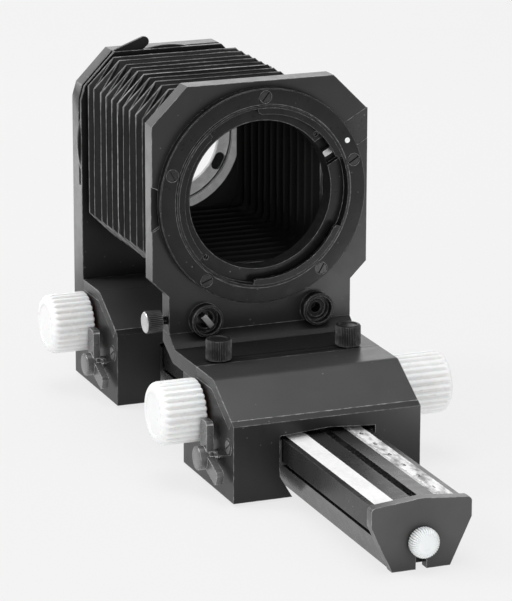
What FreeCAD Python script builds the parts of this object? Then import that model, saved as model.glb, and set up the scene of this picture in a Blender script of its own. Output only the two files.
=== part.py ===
import FreeCAD, Part
import math
import os

from FreeCAD import Vector

# Macro bellows unit: a lens standard and a camera standard on two carriages that a rack and pinion
# drives along one dovetail rail, joined by a pleated bellows.
# Frame: millimetres, +Z up, +Y from the lens to the camera, +X to the right seen from the lens side.
# Origin: mouth of the tripod socket, at the middle of the rail's underside.

# ---------------------------------------------------------------- driving dimensions
# Fits and gaps
RUNNING = 0.05           # radial clearance of a turning fit
SLIDING = 0.08           # clearance of a sliding fit between flat faces
FREE_GAP = 0.3           # gap between pieces that move past each other

# Round pieces that no bore or fit depends on are regular prisms
WIDE_SIDES = 40
SMALL_SIDES = 24
THIN_SIDES = 14

# Rail
RAIL_LENGTH = 224.0      # between the end caps
RAIL_TOP_HALF = 13.4     # half width of the upper, upright flanks
RAIL_BOTTOM_HALF = 9.0   # half width of the underside
RAIL_EDGE_Z = 17.3       # top edge of the flanks
RAIL_RIDGE_Z = 18.3      # crown of the roof-shaped top
FLANK_Z = 9.2            # where the tapered lower flank meets the guide groove
GROOVE_HEIGHT = 1.2      # guide groove in each flank
GROOVE_DEPTH = 1.5
STRIP_OUTER = 11.75      # scale strips, measured from the rail's middle
STRIP_WIDTH = 5.6
STRIP_THICK = 0.4
SLOT_WIDTH = 2.4         # slot along the crown that holds the rack
SLOT_FLOOR_Z = 12.0
SLOT_END_WALL = 1.1      # rail left between the slot's ends and the end caps

# Rack and pinion
MODULE = 1.0
PINION_TEETH = 10
PINION_WIDTH = 1.8
PRESSURE_ANGLE = 20.0
RACK_ADDENDUM = 0.6      # short, because a pinion with so few teeth has no involute below its base circle
RACK_DEDENDUM = 1.3
PINION_ADDENDUM = 1.0
PINION_DEDENDUM = 1.0
BACKLASH = 0.3           # taken from the pitch thickness of each tooth
PINION_Z = 20.2          # height of both drive shafts
SHAFT_R = 1.5

# End caps and their knobs
CAP_THICK = 3.0
CAP_TOP_HALF = 14.8
CAP_BOTTOM_HALF = 8.6
CAP_EDGE_Z = 18.0
CAP_CROWN_Z = 19.4
CAP_TAPER_Z = 12.5
CAP_FOOT_Z = -0.8        # the caps stand on the table, the rail hangs between them
CAP_SLOT_WIDTH = 3.2
CAP_KNOB_Z = 7.3
CAP_KNOB_R = 4.3
CAP_KNOB_LENGTH = 3.7
CAP_STEM_R = 1.4
CAP_STEM_DEPTH = 12.0

# Carriages, both alike up to the seat of their standard
BLOCK_DEPTH = 40.4
BLOCK_FRONT_Z = 22.8     # top of the upright front face
BLOCK_TOP_Z = 32.4       # top of the cover
SLOPE_RUN = 16.4         # front face to the top of the slope
SHELF_Z = 27.8           # shelf under the lens standard's foot
COVER_THICK = 3.2
COVER_LIP = 2.2          # strip of block left below the cover, along the slope
COVER_BEND_R = 4.0
CHANNEL_GAP = 1.3        # between the rail and the channel cut for it
GUIDE_INSET = 1.5        # guides stop short of the block's faces
FRONT_BLOCK_Y = -49.7    # front faces of the two blocks
REAR_BLOCK_Y = 49.0
PINION_SETBACK = 27.6    # front face of a block to its drive shaft
PINION_POCKET_GAP = 0.8

# Drive knobs
KNOB_R = 9.3
KNOB_FLUTES = 28
KNOB_FLUTE_DEPTH = 0.75
KNOB_RIDGE_SHARE = 0.35  # part of each pitch that is ridge
KNOB_GAP = 0.6           # block face to knob
KNOB_LEFT_LENGTH = 13.5
KNOB_RIGHT_LENGTH = 18.8

# Clamp levers on the left flank of each carriage
LEVER_SETBACK = 14.3     # front face of a block to the lever's axis
LEVER_Z = 10.0
LEVER_HUB_R = 3.5
LEVER_HUB_LENGTH = 4.4
LEVER_ARM_THICK = 2.2
LEVER_ARM_GAP = 1.5      # block face to arm
LEVER_UP_ARM = (11.2, 5.2, 90.0)      # length, width, angle above the level
LEVER_LOW_ARM = (11.0, 4.4, -20.0)
LEVER_SCREW_R = 2.0

# Lens standard: one angle plate, upright and foot
AXIS_Z = 75.6            # optical axis
PLATE_MARGIN = 1.6       # plate beside the mount ring
PLATE_TOP_MARGIN = 1.8   # plate above it
PLATE_THICK = 5.6
PLATE_CHAMFER = 11.0
WAIST_DROP = 28.4        # optical axis to the top of the waist, which is as wide as the carriage
FOOT_LENGTH = 22.4       # from the upright's front face forward
FOOT_BEND = 4.5          # bevel inside the bend
PLATE_Y = 2.6            # front face of the upright
SCALLOP_R = 7.0
SCALLOP_OUTSIDE = 2.0    # its centre beyond the plate's left edge
SCALLOP_DROP = 1.6       # below the optical axis
SCALLOP_DEPTH = 1.0

# Lens mount
BAYONET_R = 27.4         # sets the rest of the mount and the plate round it
BAYONET_RISE = 0.5
BAYONET_WALL = 0.8       # round the counterbore
BAYONET_CAVITY_DEPTH = 3.2
BAYONET_LUG_REACH = 1.8  # inward from the counterbore's wall
BAYONET_LUG_THICK = 1.3
BAYONET_SEAT = 4.4       # flat face round the throat
MOUNT_RIM = 5.0          # width of the mount ring
MOUNT_THICK = 2.6
LUG_SECTORS = ((24.0, 93.0), (131.0, 221.0), (264.0, 334.0))   # degrees from +X towards +Z
INDEX_ANGLE = 29.2
INDEX_INSET = 2.1        # bead's middle from the ring's outer edge
INDEX_R = 0.9
INDEX_DEPTH = 0.8
INDEX_PROUD = 0.2

# Lens release: a flush radial slider with its latch pin
RELEASE_WIDTH = 8.0
RELEASE_THICK = 1.8
RELEASE_TRAVEL = 2.0
LATCH_WIDTH = 2.0
LATCH_THICK = 1.4
LATCH_OFFSET = 0.8       # pin below the slider's middle line

# Accessory sockets and screws of the lens standard
SOCKET_X = 17.7
SOCKET_DROP = 3.8         # lowest point of the mount ring to the sockets' centres
SOCKET_R = 4.9
SOCKET_DISH_R = 3.9       # wider mouth of a socket
SOCKET_DISH_DEPTH = 2.4
SOCKET_BORE_R = 2.5
SOCKET_PROUD = 3.0
CATCH_BAR = (4.4, 1.8)    # bar of the catch in the left socket, length and width
CATCH_DISC_THICK = 1.6
FOOT_KNOB_X = 20.4
FOOT_KNOB_SETBACK = 18.5  # upright's front face to the knobs, forward
FOOT_KNOB_R = 3.8
FOOT_KNOB_HEIGHT = 6.2
FOOT_STEM_R = 1.5
SIDE_SCREW_R = 3.45
SIDE_SCREW_GAP = 1.7      # plate's edge to the head
SIDE_SCREW_LENGTH = 5.0
SIDE_STEM_R = 1.2

# Bellows
FOLDS = 12
FOLD_PITCH = 5.5
BELLOWS_RIM = 2.7        # camera tube to the folds' outer faces
BELLOWS_CHAMFER = 8.5
BELLOWS_PLEAT = 6.2      # depth of a fold
BELLOWS_SKIN = 0.6
FRONT_FRAME_THICK = 2.0
REAR_FRAME_THICK = 1.4
REAR_FRAME_INSET = 2.5   # rear frame inside the folds' outer faces
REAR_FRAME_LIP = 1.5     # the rear frame's bore is that much smaller than the folds' inner faces

# Camera standard
REAR_PLATE_THICK = 8.5
REAR_PLATE_WALL = 2.9    # left round the camera tube, at the sides and above
REAR_PLATE_CUTS = ((0.0, 14.5), (1.3, 10.1), (11.1, 0.0))   # upper corners: in from the side, down from the top
REAR_PLATE_FOOT_Z = 20.6
RING_SLOT_FACE = 1.2     # layer of the plate left in front of the clamp ring's slot
RING_SLOT_WIDTH = 1.4
RING_SLOT_DROP = 13.0    # optical axis down to where the slot closes at the plate's flanks
LEVER_RING_WIDTH = 3.7
LEVER_TAB = ((-19.5, -7.4), (-17.6, 0.1), (-9.2, 3.7), (-7.2, 3.8), (-5.9, 2.7), (-6.0, 0.9), (-9.0, -0.9))
                         # thumb tab's outline in X, and in Z from the plate's top edge
CAMERA_TUBE_R = 26.0     # sets the width of the bellows and of both carriages
CAMERA_TUBE_WALL = 3.8
CAMERA_BAFFLE_R = 17.0   # opening of the baffle seen through the bellows
CAMERA_BAFFLE_THICK = 1.6
CAMERA_FLANGE_RIM = 1.5  # flange beyond the tube
CAMERA_FLANGE_THICK = 2.2
CAMERA_NOSE_WALL = 1.3
CAMERA_NOSE_LENGTH = 2.6
CAMERA_LUG_RISE = 1.5
CAMERA_LUG_THICK = 1.2
CAMERA_LUG_SPAN = 60.0   # degrees
SPACER_R = 1.0           # posts across the slot, in the plate's upper corners
SPACER_GAP = 0.8         # clamp ring to the posts

# Tripod socket
TRIPOD_R = 2.6           # tapping size of a 1/4 inch thread
TRIPOD_DEPTH = 8.0
TRIPOD_BUSH_R = 6.0      # over the corners of the hexagonal bush
TRIPOD_BUSH_HEIGHT = 9.5

# ---------------------------------------------------------------- derived places
BLOCK_HALF = CAMERA_TUBE_R + REAR_PLATE_WALL
BELLOWS_HALF = CAMERA_TUBE_R + BELLOWS_RIM
REAR_PLATE_TOP_Z = AXIS_Z + CAMERA_TUBE_R + REAR_PLATE_WALL
BAYONET_CAVITY_R = BAYONET_R - BAYONET_WALL
BAYONET_LUG_R = BAYONET_CAVITY_R - BAYONET_LUG_REACH
THROAT_R = BAYONET_CAVITY_R - BAYONET_SEAT
MOUNT_R = BAYONET_R + MOUNT_RIM
INDEX_CIRCLE_R = MOUNT_R - INDEX_INSET
PLATE_HALF = MOUNT_R + PLATE_MARGIN
PLATE_TOP_Z = AXIS_Z + MOUNT_R + PLATE_TOP_MARGIN
WAIST_Z = AXIS_Z - WAIST_DROP
SCALLOP_X = -(PLATE_HALF + SCALLOP_OUTSIDE)
SCALLOP_Z = AXIS_Z - SCALLOP_DROP
SOCKET_Z = AXIS_Z - MOUNT_R - SOCKET_DROP
PITCH_R = MODULE * PINION_TEETH / 2
RACK_PITCH = math.pi * MODULE
PITCH_LINE_Z = PINION_Z - PITCH_R
RAIL_END = RAIL_LENGTH / 2
SLOT_HALF_LENGTH = RAIL_END - SLOT_END_WALL
PLATE_BACK_Y = PLATE_Y + PLATE_THICK
REAR_PLATE_BACK_Y = REAR_BLOCK_Y + BLOCK_DEPTH
REAR_PLATE_Y = REAR_PLATE_BACK_Y - REAR_PLATE_THICK
REAR_FRAME_Y = REAR_PLATE_Y - REAR_FRAME_THICK
FRONT_FRAME_BACK_Y = PLATE_BACK_Y + FRONT_FRAME_THICK
X_AXIS, Y_AXIS, Z_AXIS = Vector(1, 0, 0), Vector(0, 1, 0), Vector(0, 0, 1)

nodes = {}


# ---------------------------------------------------------------- helpers
def block(x0, x1, y0, y1, z0, z1):
    return Part.makeBox(x1 - x0, y1 - y0, z1 - z0, Vector(x0, y0, z0))


def rod(radius, start, axis, length):
    return Part.makeCylinder(radius, length, Vector(*start), axis)


def prism(radius, sides, start, axis, length):
    """Regular prism about an axis; its corners lie on the radius."""
    turns = [2 * math.pi * k / sides for k in range(sides)]
    bar = extrude([(radius * math.cos(t), radius * math.sin(t), 0) for t in turns], Vector(0, 0, length))
    return placed(bar, start, axis)


def extrude(corners, direction):
    """Prism from a closed list of 3-D corners, pushed along a vector."""
    wire = Part.makePolygon([Vector(*c) for c in corners] + [Vector(*corners[0])])
    return Part.Face(wire).extrude(direction)


def profile_along_x(yz, x0, x1):
    return extrude([(x0, y, z) for y, z in yz], Vector(x1 - x0, 0, 0))


def profile_along_y(xz, y0, y1):
    return extrude([(x, y0, z) for x, z in xz], Vector(0, y1 - y0, 0))


def mirrored(xz):
    """Closes a right-hand half outline with its mirror image about X = 0."""
    left = [(-x, z) for x, z in reversed(xz) if x != 0]
    return xz + left


def octagon(half, chamfer, centre_z):
    """Eight corners of a square with cut corners, in X and Z."""
    inner = half - chamfer
    ring = ((half, -inner), (half, inner), (inner, half), (-inner, half),
            (-half, inner), (-half, -inner), (-inner, -half), (inner, -half))
    return [(x, centre_z + z) for x, z in ring]


def fluted(radius, depth, count, ridge_share, length):
    """Bar about Z with V-shaped flutes between flat ridges, from Z = 0 up."""
    step = 2 * math.pi / count
    corners = []
    for k in range(count):
        half_ridge = step * ridge_share / 2
        for angle, r in ((-half_ridge, radius), (half_ridge, radius), (step / 2, radius - depth)):
            turn = k * step + angle
            corners.append((r * math.cos(turn), r * math.sin(turn), 0))
    return extrude(corners, Vector(0, 0, length))


def placed(shape, start, axis):
    """Turns a shape built about +Z so that it points along an axis from a start point."""
    turned = shape.copy()
    turned.Placement = FreeCAD.Placement(Vector(*start), FreeCAD.Rotation(Z_AXIS, axis))
    return turned


def headed_stem(head_r, head_length, stem_r, stem_length):
    """Knob head about Z from Z = 0 up, its stem below."""
    head = prism(head_r, SMALL_SIDES, (0, 0, 0), Z_AXIS, head_length)
    return head.fuse(prism(stem_r, THIN_SIDES, (0, 0, -stem_length), Z_AXIS, stem_length))


def radial(shape, degrees):
    """Turns a shape made along +X about the optical axis, +X towards +Z."""
    turned = shape.copy()
    turned.rotate(Vector(0, 0, AXIS_Z), Y_AXIS, -degrees)
    return turned


def on_circle(radius, degrees):
    angle = math.radians(degrees)
    return radius * math.cos(angle), AXIS_Z + radius * math.sin(angle)


def sector(r_in, r_out, y0, y1, from_deg, to_deg):
    """Part of a flat ring round the optical axis."""
    ring = prism(r_out, WIDE_SIDES, (0, y0, AXIS_Z), Y_AXIS, y1 - y0)
    ring = ring.cut(prism(r_in, WIDE_SIDES, (0, y0, AXIS_Z), Y_AXIS, y1 - y0))
    reach = 2 * r_out
    steps = 6
    fan = [(0, y0, AXIS_Z)]
    for k in range(steps + 1):
        x, z = on_circle(reach, from_deg + (to_deg - from_deg) * k / steps)
        fan.append((x, y0, z))
    return ring.common(extrude(fan, Vector(0, y1 - y0, 0)))


def group(shapes):
    return Part.makeCompound(shapes)


# ---------------------------------------------------------------- rail
def roof_z(x):
    """Height of the rail's crowned top at a distance from its middle."""
    return RAIL_RIDGE_Z - (RAIL_RIDGE_Z - RAIL_EDGE_Z) * abs(x) / RAIL_TOP_HALF


def strip_outline(side):
    """Section of one scale strip, let into the top of the rail."""
    inner = STRIP_OUTER - STRIP_WIDTH
    return [(side * inner, roof_z(inner) - STRIP_THICK), (side * STRIP_OUTER, roof_z(STRIP_OUTER) - STRIP_THICK),
            (side * STRIP_OUTER, roof_z(STRIP_OUTER)), (side * inner, roof_z(inner))]


def rail_outline():
    groove_x = RAIL_TOP_HALF - GROOVE_DEPTH
    top_of_groove = FLANK_Z + GROOVE_HEIGHT
    return mirrored([(RAIL_BOTTOM_HALF, 0), (RAIL_TOP_HALF - 0.2, FLANK_Z), (groove_x, FLANK_Z),
                     (groove_x, top_of_groove), (RAIL_TOP_HALF, top_of_groove),
                     (RAIL_TOP_HALF, RAIL_EDGE_Z), (0, RAIL_RIDGE_Z)])


def rack_bar():
    """Toothed bar at the foot of the slot; a tooth space lies at the middle of the rail."""
    tip_z = PITCH_LINE_Z + RACK_ADDENDUM
    root_z = PITCH_LINE_Z - RACK_DEDENDUM
    slope = math.tan(math.radians(PRESSURE_ANGLE))
    half_pitch_tooth = (RACK_PITCH / 2 - BACKLASH) / 2
    half_tip = half_pitch_tooth - RACK_ADDENDUM * slope
    half_root = half_pitch_tooth + RACK_DEDENDUM * slope
    count = int((SLOT_HALF_LENGTH - RACK_PITCH) / RACK_PITCH)
    outline = [(SLOT_HALF_LENGTH, SLOT_FLOOR_Z), (SLOT_HALF_LENGTH, root_z)]
    for k in range(count, -count - 1, -1):
        middle = (k + 0.5) * RACK_PITCH
        outline += [(middle + half_root, root_z), (middle + half_tip, tip_z),
                    (middle - half_tip, tip_z), (middle - half_root, root_z)]
    outline += [(-SLOT_HALF_LENGTH, root_z), (-SLOT_HALF_LENGTH, SLOT_FLOOR_Z)]
    return profile_along_x(outline, -SLOT_WIDTH / 2, SLOT_WIDTH / 2)


def build_rail():
    rail = profile_along_y(rail_outline(), -RAIL_END, RAIL_END)
    for side, name in ((-1, "scale_strip_plain"), (1, "scale_strip_numbered")):
        strip = profile_along_y(strip_outline(side), -RAIL_END, RAIL_END)
        nodes[name] = strip
        rail = rail.cut(strip)
    rail = rail.cut(block(-SLOT_WIDTH / 2, SLOT_WIDTH / 2, -SLOT_HALF_LENGTH, SLOT_HALF_LENGTH,
                          SLOT_FLOOR_Z, RAIL_RIDGE_Z + 1))
    for side in (-1, 1):
        rail = rail.cut(rod(CAP_STEM_R + RUNNING, (0, side * RAIL_END, CAP_KNOB_Z),
                            Vector(0, -side, 0), CAP_STEM_DEPTH + FREE_GAP))
    bush = prism(TRIPOD_BUSH_R, 6, (0, 0, 0), Z_AXIS, TRIPOD_BUSH_HEIGHT)
    nodes["rail"] = rail.cut(bush)
    nodes["rack"] = rack_bar()
    nodes["tripod_bush"] = bush.cut(rod(TRIPOD_R, (0, 0, 0), Z_AXIS, TRIPOD_DEPTH))


def end_cap(side):
    """End plate whose open slot lets it lift off once its knob is slackened."""
    outline = mirrored([(CAP_BOTTOM_HALF, CAP_FOOT_Z), (CAP_TOP_HALF, CAP_TAPER_Z),
                        (CAP_TOP_HALF, CAP_EDGE_Z), (0, CAP_CROWN_Z)])
    y0, y1 = sorted((side * RAIL_END, side * (RAIL_END + CAP_THICK)))
    plate = profile_along_y(outline, y0, y1)
    plate = rounded_edges(plate, 1.3, lambda e: along(e, Y_AXIS) and abs(e.CenterOfMass.x) > CAP_TOP_HALF - 0.1
                          and e.CenterOfMass.z > CAP_TAPER_Z + 1)
    slot = block(-CAP_SLOT_WIDTH / 2, CAP_SLOT_WIDTH / 2, y0 - 1, y1 + 1, CAP_FOOT_Z - 1, CAP_KNOB_Z)
    hole = rod(CAP_SLOT_WIDTH / 2, (0, y0 - 1, CAP_KNOB_Z), Y_AXIS, CAP_THICK + 2)
    return plate.cut(slot).cut(hole)


def along(edge, axis):
    """True for a straight edge that runs along an axis."""
    if not isinstance(edge.Curve, Part.Line):
        return False
    run = edge.Vertexes[-1].Point - edge.Vertexes[0].Point
    return run.Length > 0 and abs(abs(run.dot(axis)) / run.Length - 1) < 1e-6


def rounded_edges(shape, radius, wanted):
    edges = [e for e in shape.Edges if wanted(e)]
    return shape.makeFillet(radius, edges)


def end_knob(side):
    """Crowned button on a stem that runs into the end of the rail."""
    stem_length = FREE_GAP + CAP_THICK + CAP_STEM_DEPTH
    knob = headed_stem(CAP_KNOB_R, CAP_KNOB_LENGTH, CAP_STEM_R, stem_length)
    face_y = side * (RAIL_END + CAP_THICK + FREE_GAP)
    return placed(knob, (0, face_y, CAP_KNOB_Z), Vector(0, side, 0))


# ---------------------------------------------------------------- carriages
def channel_outline():
    """The rail's section grown by the channel gap, open below."""
    gap = CHANNEL_GAP
    return mirrored([(RAIL_BOTTOM_HALF + gap, -1), (RAIL_TOP_HALF + gap, FLANK_Z - 2 * gap),
                     (RAIL_TOP_HALF + gap, RAIL_EDGE_Z + gap), (0, RAIL_RIDGE_Z + gap)])


def body_outline(front, back, top_back_z):
    """Side view of a carriage block with its sloping nose."""
    return [(front, 0), (front, BLOCK_FRONT_Z), (front + SLOPE_RUN, BLOCK_TOP_Z),
            (back, BLOCK_TOP_Z), (back, top_back_z), (back, 0)]


def slope_point(front, distance, depth):
    """Point on the slope, a distance up from its foot and a depth below its face."""
    rise = BLOCK_TOP_Z - BLOCK_FRONT_Z
    length = math.hypot(SLOPE_RUN, rise)
    uy, uz = SLOPE_RUN / length, rise / length
    return front + distance * uy + depth * uz, BLOCK_FRONT_Z + distance * uz - depth * uy


def cover_outline(front, back):
    """Side view of the bent cover on top of a carriage."""
    length = math.hypot(SLOPE_RUN, BLOCK_TOP_Z - BLOCK_FRONT_Z)
    lip = slope_point(front, COVER_LIP, 0)
    lip_under = slope_point(front, COVER_LIP, COVER_THICK)
    angle = math.atan2(BLOCK_TOP_Z - BLOCK_FRONT_Z, SLOPE_RUN)
    under_y = slope_point(front, length, 0)[0] + COVER_THICK * math.tan(angle / 2)
    return [lip, (front + SLOPE_RUN, BLOCK_TOP_Z), (back, BLOCK_TOP_Z),
            (back, BLOCK_TOP_Z - COVER_THICK), (under_y, BLOCK_TOP_Z - COVER_THICK), lip_under]


def guide(front, side):
    """Guide bar between block and rail, with the tongue that rides in the rail's groove."""
    inner = RAIL_TOP_HALF + SLIDING
    outer = RAIL_TOP_HALF + CHANNEL_GAP
    tip = RAIL_TOP_HALF - GROOVE_DEPTH + 2 * SLIDING
    low = FLANK_Z + SLIDING
    high = FLANK_Z + GROOVE_HEIGHT - SLIDING
    outline = [(side * outer, low), (side * outer, RAIL_EDGE_Z - FREE_GAP), (side * inner, RAIL_EDGE_Z - FREE_GAP),
               (side * inner, high), (side * tip, high), (side * tip, low)]
    return profile_along_y(outline, front + GUIDE_INSET, front + BLOCK_DEPTH - GUIDE_INSET)


def pinion_pocket(pinion_y):
    """Room above the rail in which the pinion turns."""
    reach = PITCH_R + PINION_ADDENDUM + PINION_POCKET_GAP
    half = PINION_WIDTH / 2 + PINION_POCKET_GAP
    return block(-half, half, pinion_y - reach, pinion_y + reach, RAIL_RIDGE_Z, PINION_Z + reach)


def carriage(name, front, cover_back, shelf_from, shelf_z):
    """One carriage: block, cover, guides, drive and clamp lever."""
    back = front + BLOCK_DEPTH
    body = profile_along_x(body_outline(front, back, 0), -BLOCK_HALF, BLOCK_HALF)
    cover = profile_along_x(cover_outline(front, cover_back), -BLOCK_HALF, BLOCK_HALF)
    body = body.cut(cover)
    body = body.cut(block(-BLOCK_HALF - 1, BLOCK_HALF + 1, shelf_from, back + 1, shelf_z, BLOCK_TOP_Z + 1))
    body = body.cut(profile_along_y(channel_outline(), front - 1, back + 1))
    cover = rounded_edges(cover, COVER_BEND_R, lambda e: along(e, X_AXIS)
                          and abs(e.CenterOfMass.y - front - SLOPE_RUN) < 0.1
                          and abs(e.CenterOfMass.z - BLOCK_TOP_Z) < 0.1)
    pinion_y = front + PINION_SETBACK
    body = body.cut(rod(SHAFT_R + RUNNING, (-BLOCK_HALF - 1, pinion_y, PINION_Z), X_AXIS, 2 * BLOCK_HALF + 2))
    body = body.cut(pinion_pocket(pinion_y))

    lever_y = front + LEVER_SETBACK
    body = body.cut(rod(LEVER_SCREW_R + RUNNING, (-BLOCK_HALF - 1, lever_y, LEVER_Z), X_AXIS, BLOCK_HALF))
    nodes[name + "_block"] = body
    nodes[name + "_cover"] = cover
    nodes[name + "_guide_left"] = guide(front, -1)
    nodes[name + "_guide_right"] = guide(front, 1)
    drive(name, pinion_y)
    clamp(name, lever_y)


def pinion(pinion_y):
    """Spur pinion about the shaft, meshing with the rack from above."""
    tip_r = PITCH_R + PINION_ADDENDUM
    root_r = PITCH_R - PINION_DEDENDUM
    base_r = PITCH_R * math.cos(math.radians(PRESSURE_ANGLE))
    half_tooth = (math.pi / 2 * MODULE - BACKLASH) / 2 / PITCH_R

    def unwound(r):
        """Angle that the involute has turned through at a radius."""
        pressure = math.acos(min(1.0, base_r / r))
        return math.tan(pressure) - pressure

    # A tooth space of the rack lies at every whole pitch, so the tooth that points down is turned
    # by what the shaft's place differs from the nearest one.
    offset = pinion_y - RACK_PITCH * round(pinion_y / RACK_PITCH)
    phase = -math.pi / 2 - offset / PITCH_R
    radii = (root_r, PITCH_R, tip_r)
    corners = []
    for k in range(PINION_TEETH):
        middle = phase + 2 * math.pi * k / PINION_TEETH
        half_angles = [half_tooth + unwound(PITCH_R) - unwound(max(r, base_r)) for r in radii]
        corners += [(r, middle - half) for r, half in zip(radii, half_angles)]
        corners += [(r, middle + half) for r, half in reversed(list(zip(radii, half_angles)))]
    x0 = -PINION_WIDTH / 2
    outline = [(x0, pinion_y + r * math.cos(a), PINION_Z + r * math.sin(a)) for r, a in corners]
    return extrude(outline, Vector(PINION_WIDTH, 0, 0))


def drive(name, pinion_y):
    """Shaft with the pinion cut on it, and a hand knob at each end."""
    end = BLOCK_HALF + KNOB_GAP
    shaft = rod(SHAFT_R, (-end, pinion_y, PINION_Z), X_AXIS, 2 * end)
    nodes[name + "_pinion_shaft"] = shaft.fuse(pinion(pinion_y))
    for side, word, length in ((-1, "_knob_left", KNOB_LEFT_LENGTH), (1, "_knob_right", KNOB_RIGHT_LENGTH)):
        knob = fluted(KNOB_R, KNOB_FLUTE_DEPTH, KNOB_FLUTES, KNOB_RIDGE_SHARE, length)
        nodes[name + word] = placed(knob, (side * end, pinion_y, PINION_Z), Vector(side, 0, 0))


def lever_arm(arm, x0, lever_y):
    """Flat bar from the hub, its free end bevelled; 90 degrees points straight up."""
    length, width, degrees = arm
    half = width / 2
    outline = [(0, -half), (length - 1.0, -half), (length, -half + 1.0), (length, half - 1.0),
               (length - 1.0, half), (0, half)]
    angle = math.radians(degrees)
    turned = [(lever_y - (a * math.cos(angle) - b * math.sin(angle)),
               LEVER_Z + a * math.sin(angle) + b * math.cos(angle)) for a, b in outline]
    return profile_along_x(turned, x0, x0 + LEVER_ARM_THICK)


def clamp(name, lever_y):
    """Two-armed lever on a screw that presses the left guide against the rail."""
    arm_x = -(BLOCK_HALF + LEVER_ARM_GAP + LEVER_ARM_THICK)
    hub_x = -(BLOCK_HALF + LEVER_ARM_GAP + LEVER_HUB_LENGTH)
    hub = prism(LEVER_HUB_R, SMALL_SIDES, (hub_x, lever_y, LEVER_Z), X_AXIS, LEVER_HUB_LENGTH)
    arms = lever_arm(LEVER_UP_ARM, arm_x, lever_y).fuse(lever_arm(LEVER_LOW_ARM, arm_x, lever_y))
    nodes[name + "_clamp_lever"] = hub.fuse(arms).removeSplitter()
    tip_x = -(RAIL_TOP_HALF + CHANNEL_GAP + FREE_GAP)
    start_x = hub_x + LEVER_HUB_LENGTH
    nodes[name + "_clamp_screw"] = prism(LEVER_SCREW_R, THIN_SIDES, (start_x, lever_y, LEVER_Z), X_AXIS,
                                         tip_x - start_x)


# ---------------------------------------------------------------- lens standard
def upright_plate(knee_z):
    """Upright with cut top corners and a narrower waist, standing on the foot."""
    side_z = PLATE_TOP_Z - PLATE_CHAMFER
    waist_run = PLATE_HALF - BLOCK_HALF
    outline = mirrored([(BLOCK_HALF, knee_z), (BLOCK_HALF, WAIST_Z), (PLATE_HALF, WAIST_Z + waist_run),
                        (PLATE_HALF, side_z), (PLATE_HALF - PLATE_CHAMFER, PLATE_TOP_Z)])
    return profile_along_y(outline, PLATE_Y, PLATE_BACK_Y)


def foot_plate(knee_z):
    """Foot on the carriage's shelf, bevelled into the upright."""
    side_view = [(PLATE_Y, knee_z), (PLATE_BACK_Y, knee_z), (PLATE_BACK_Y, BLOCK_TOP_Z),
                 (PLATE_Y - 2.8, SHELF_Z), (PLATE_Y - FOOT_LENGTH, SHELF_Z),
                 (PLATE_Y - FOOT_LENGTH, BLOCK_TOP_Z), (PLATE_Y - FOOT_BEND, BLOCK_TOP_Z)]
    return profile_along_x(side_view, -BLOCK_HALF, BLOCK_HALF)


def radial_block(r0, r1, half_width, y0, y1, degrees):
    bar = block(r0, r1, y0, y1, AXIS_Z - half_width, AXIS_Z + half_width)
    return radial(bar, degrees)


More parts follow.
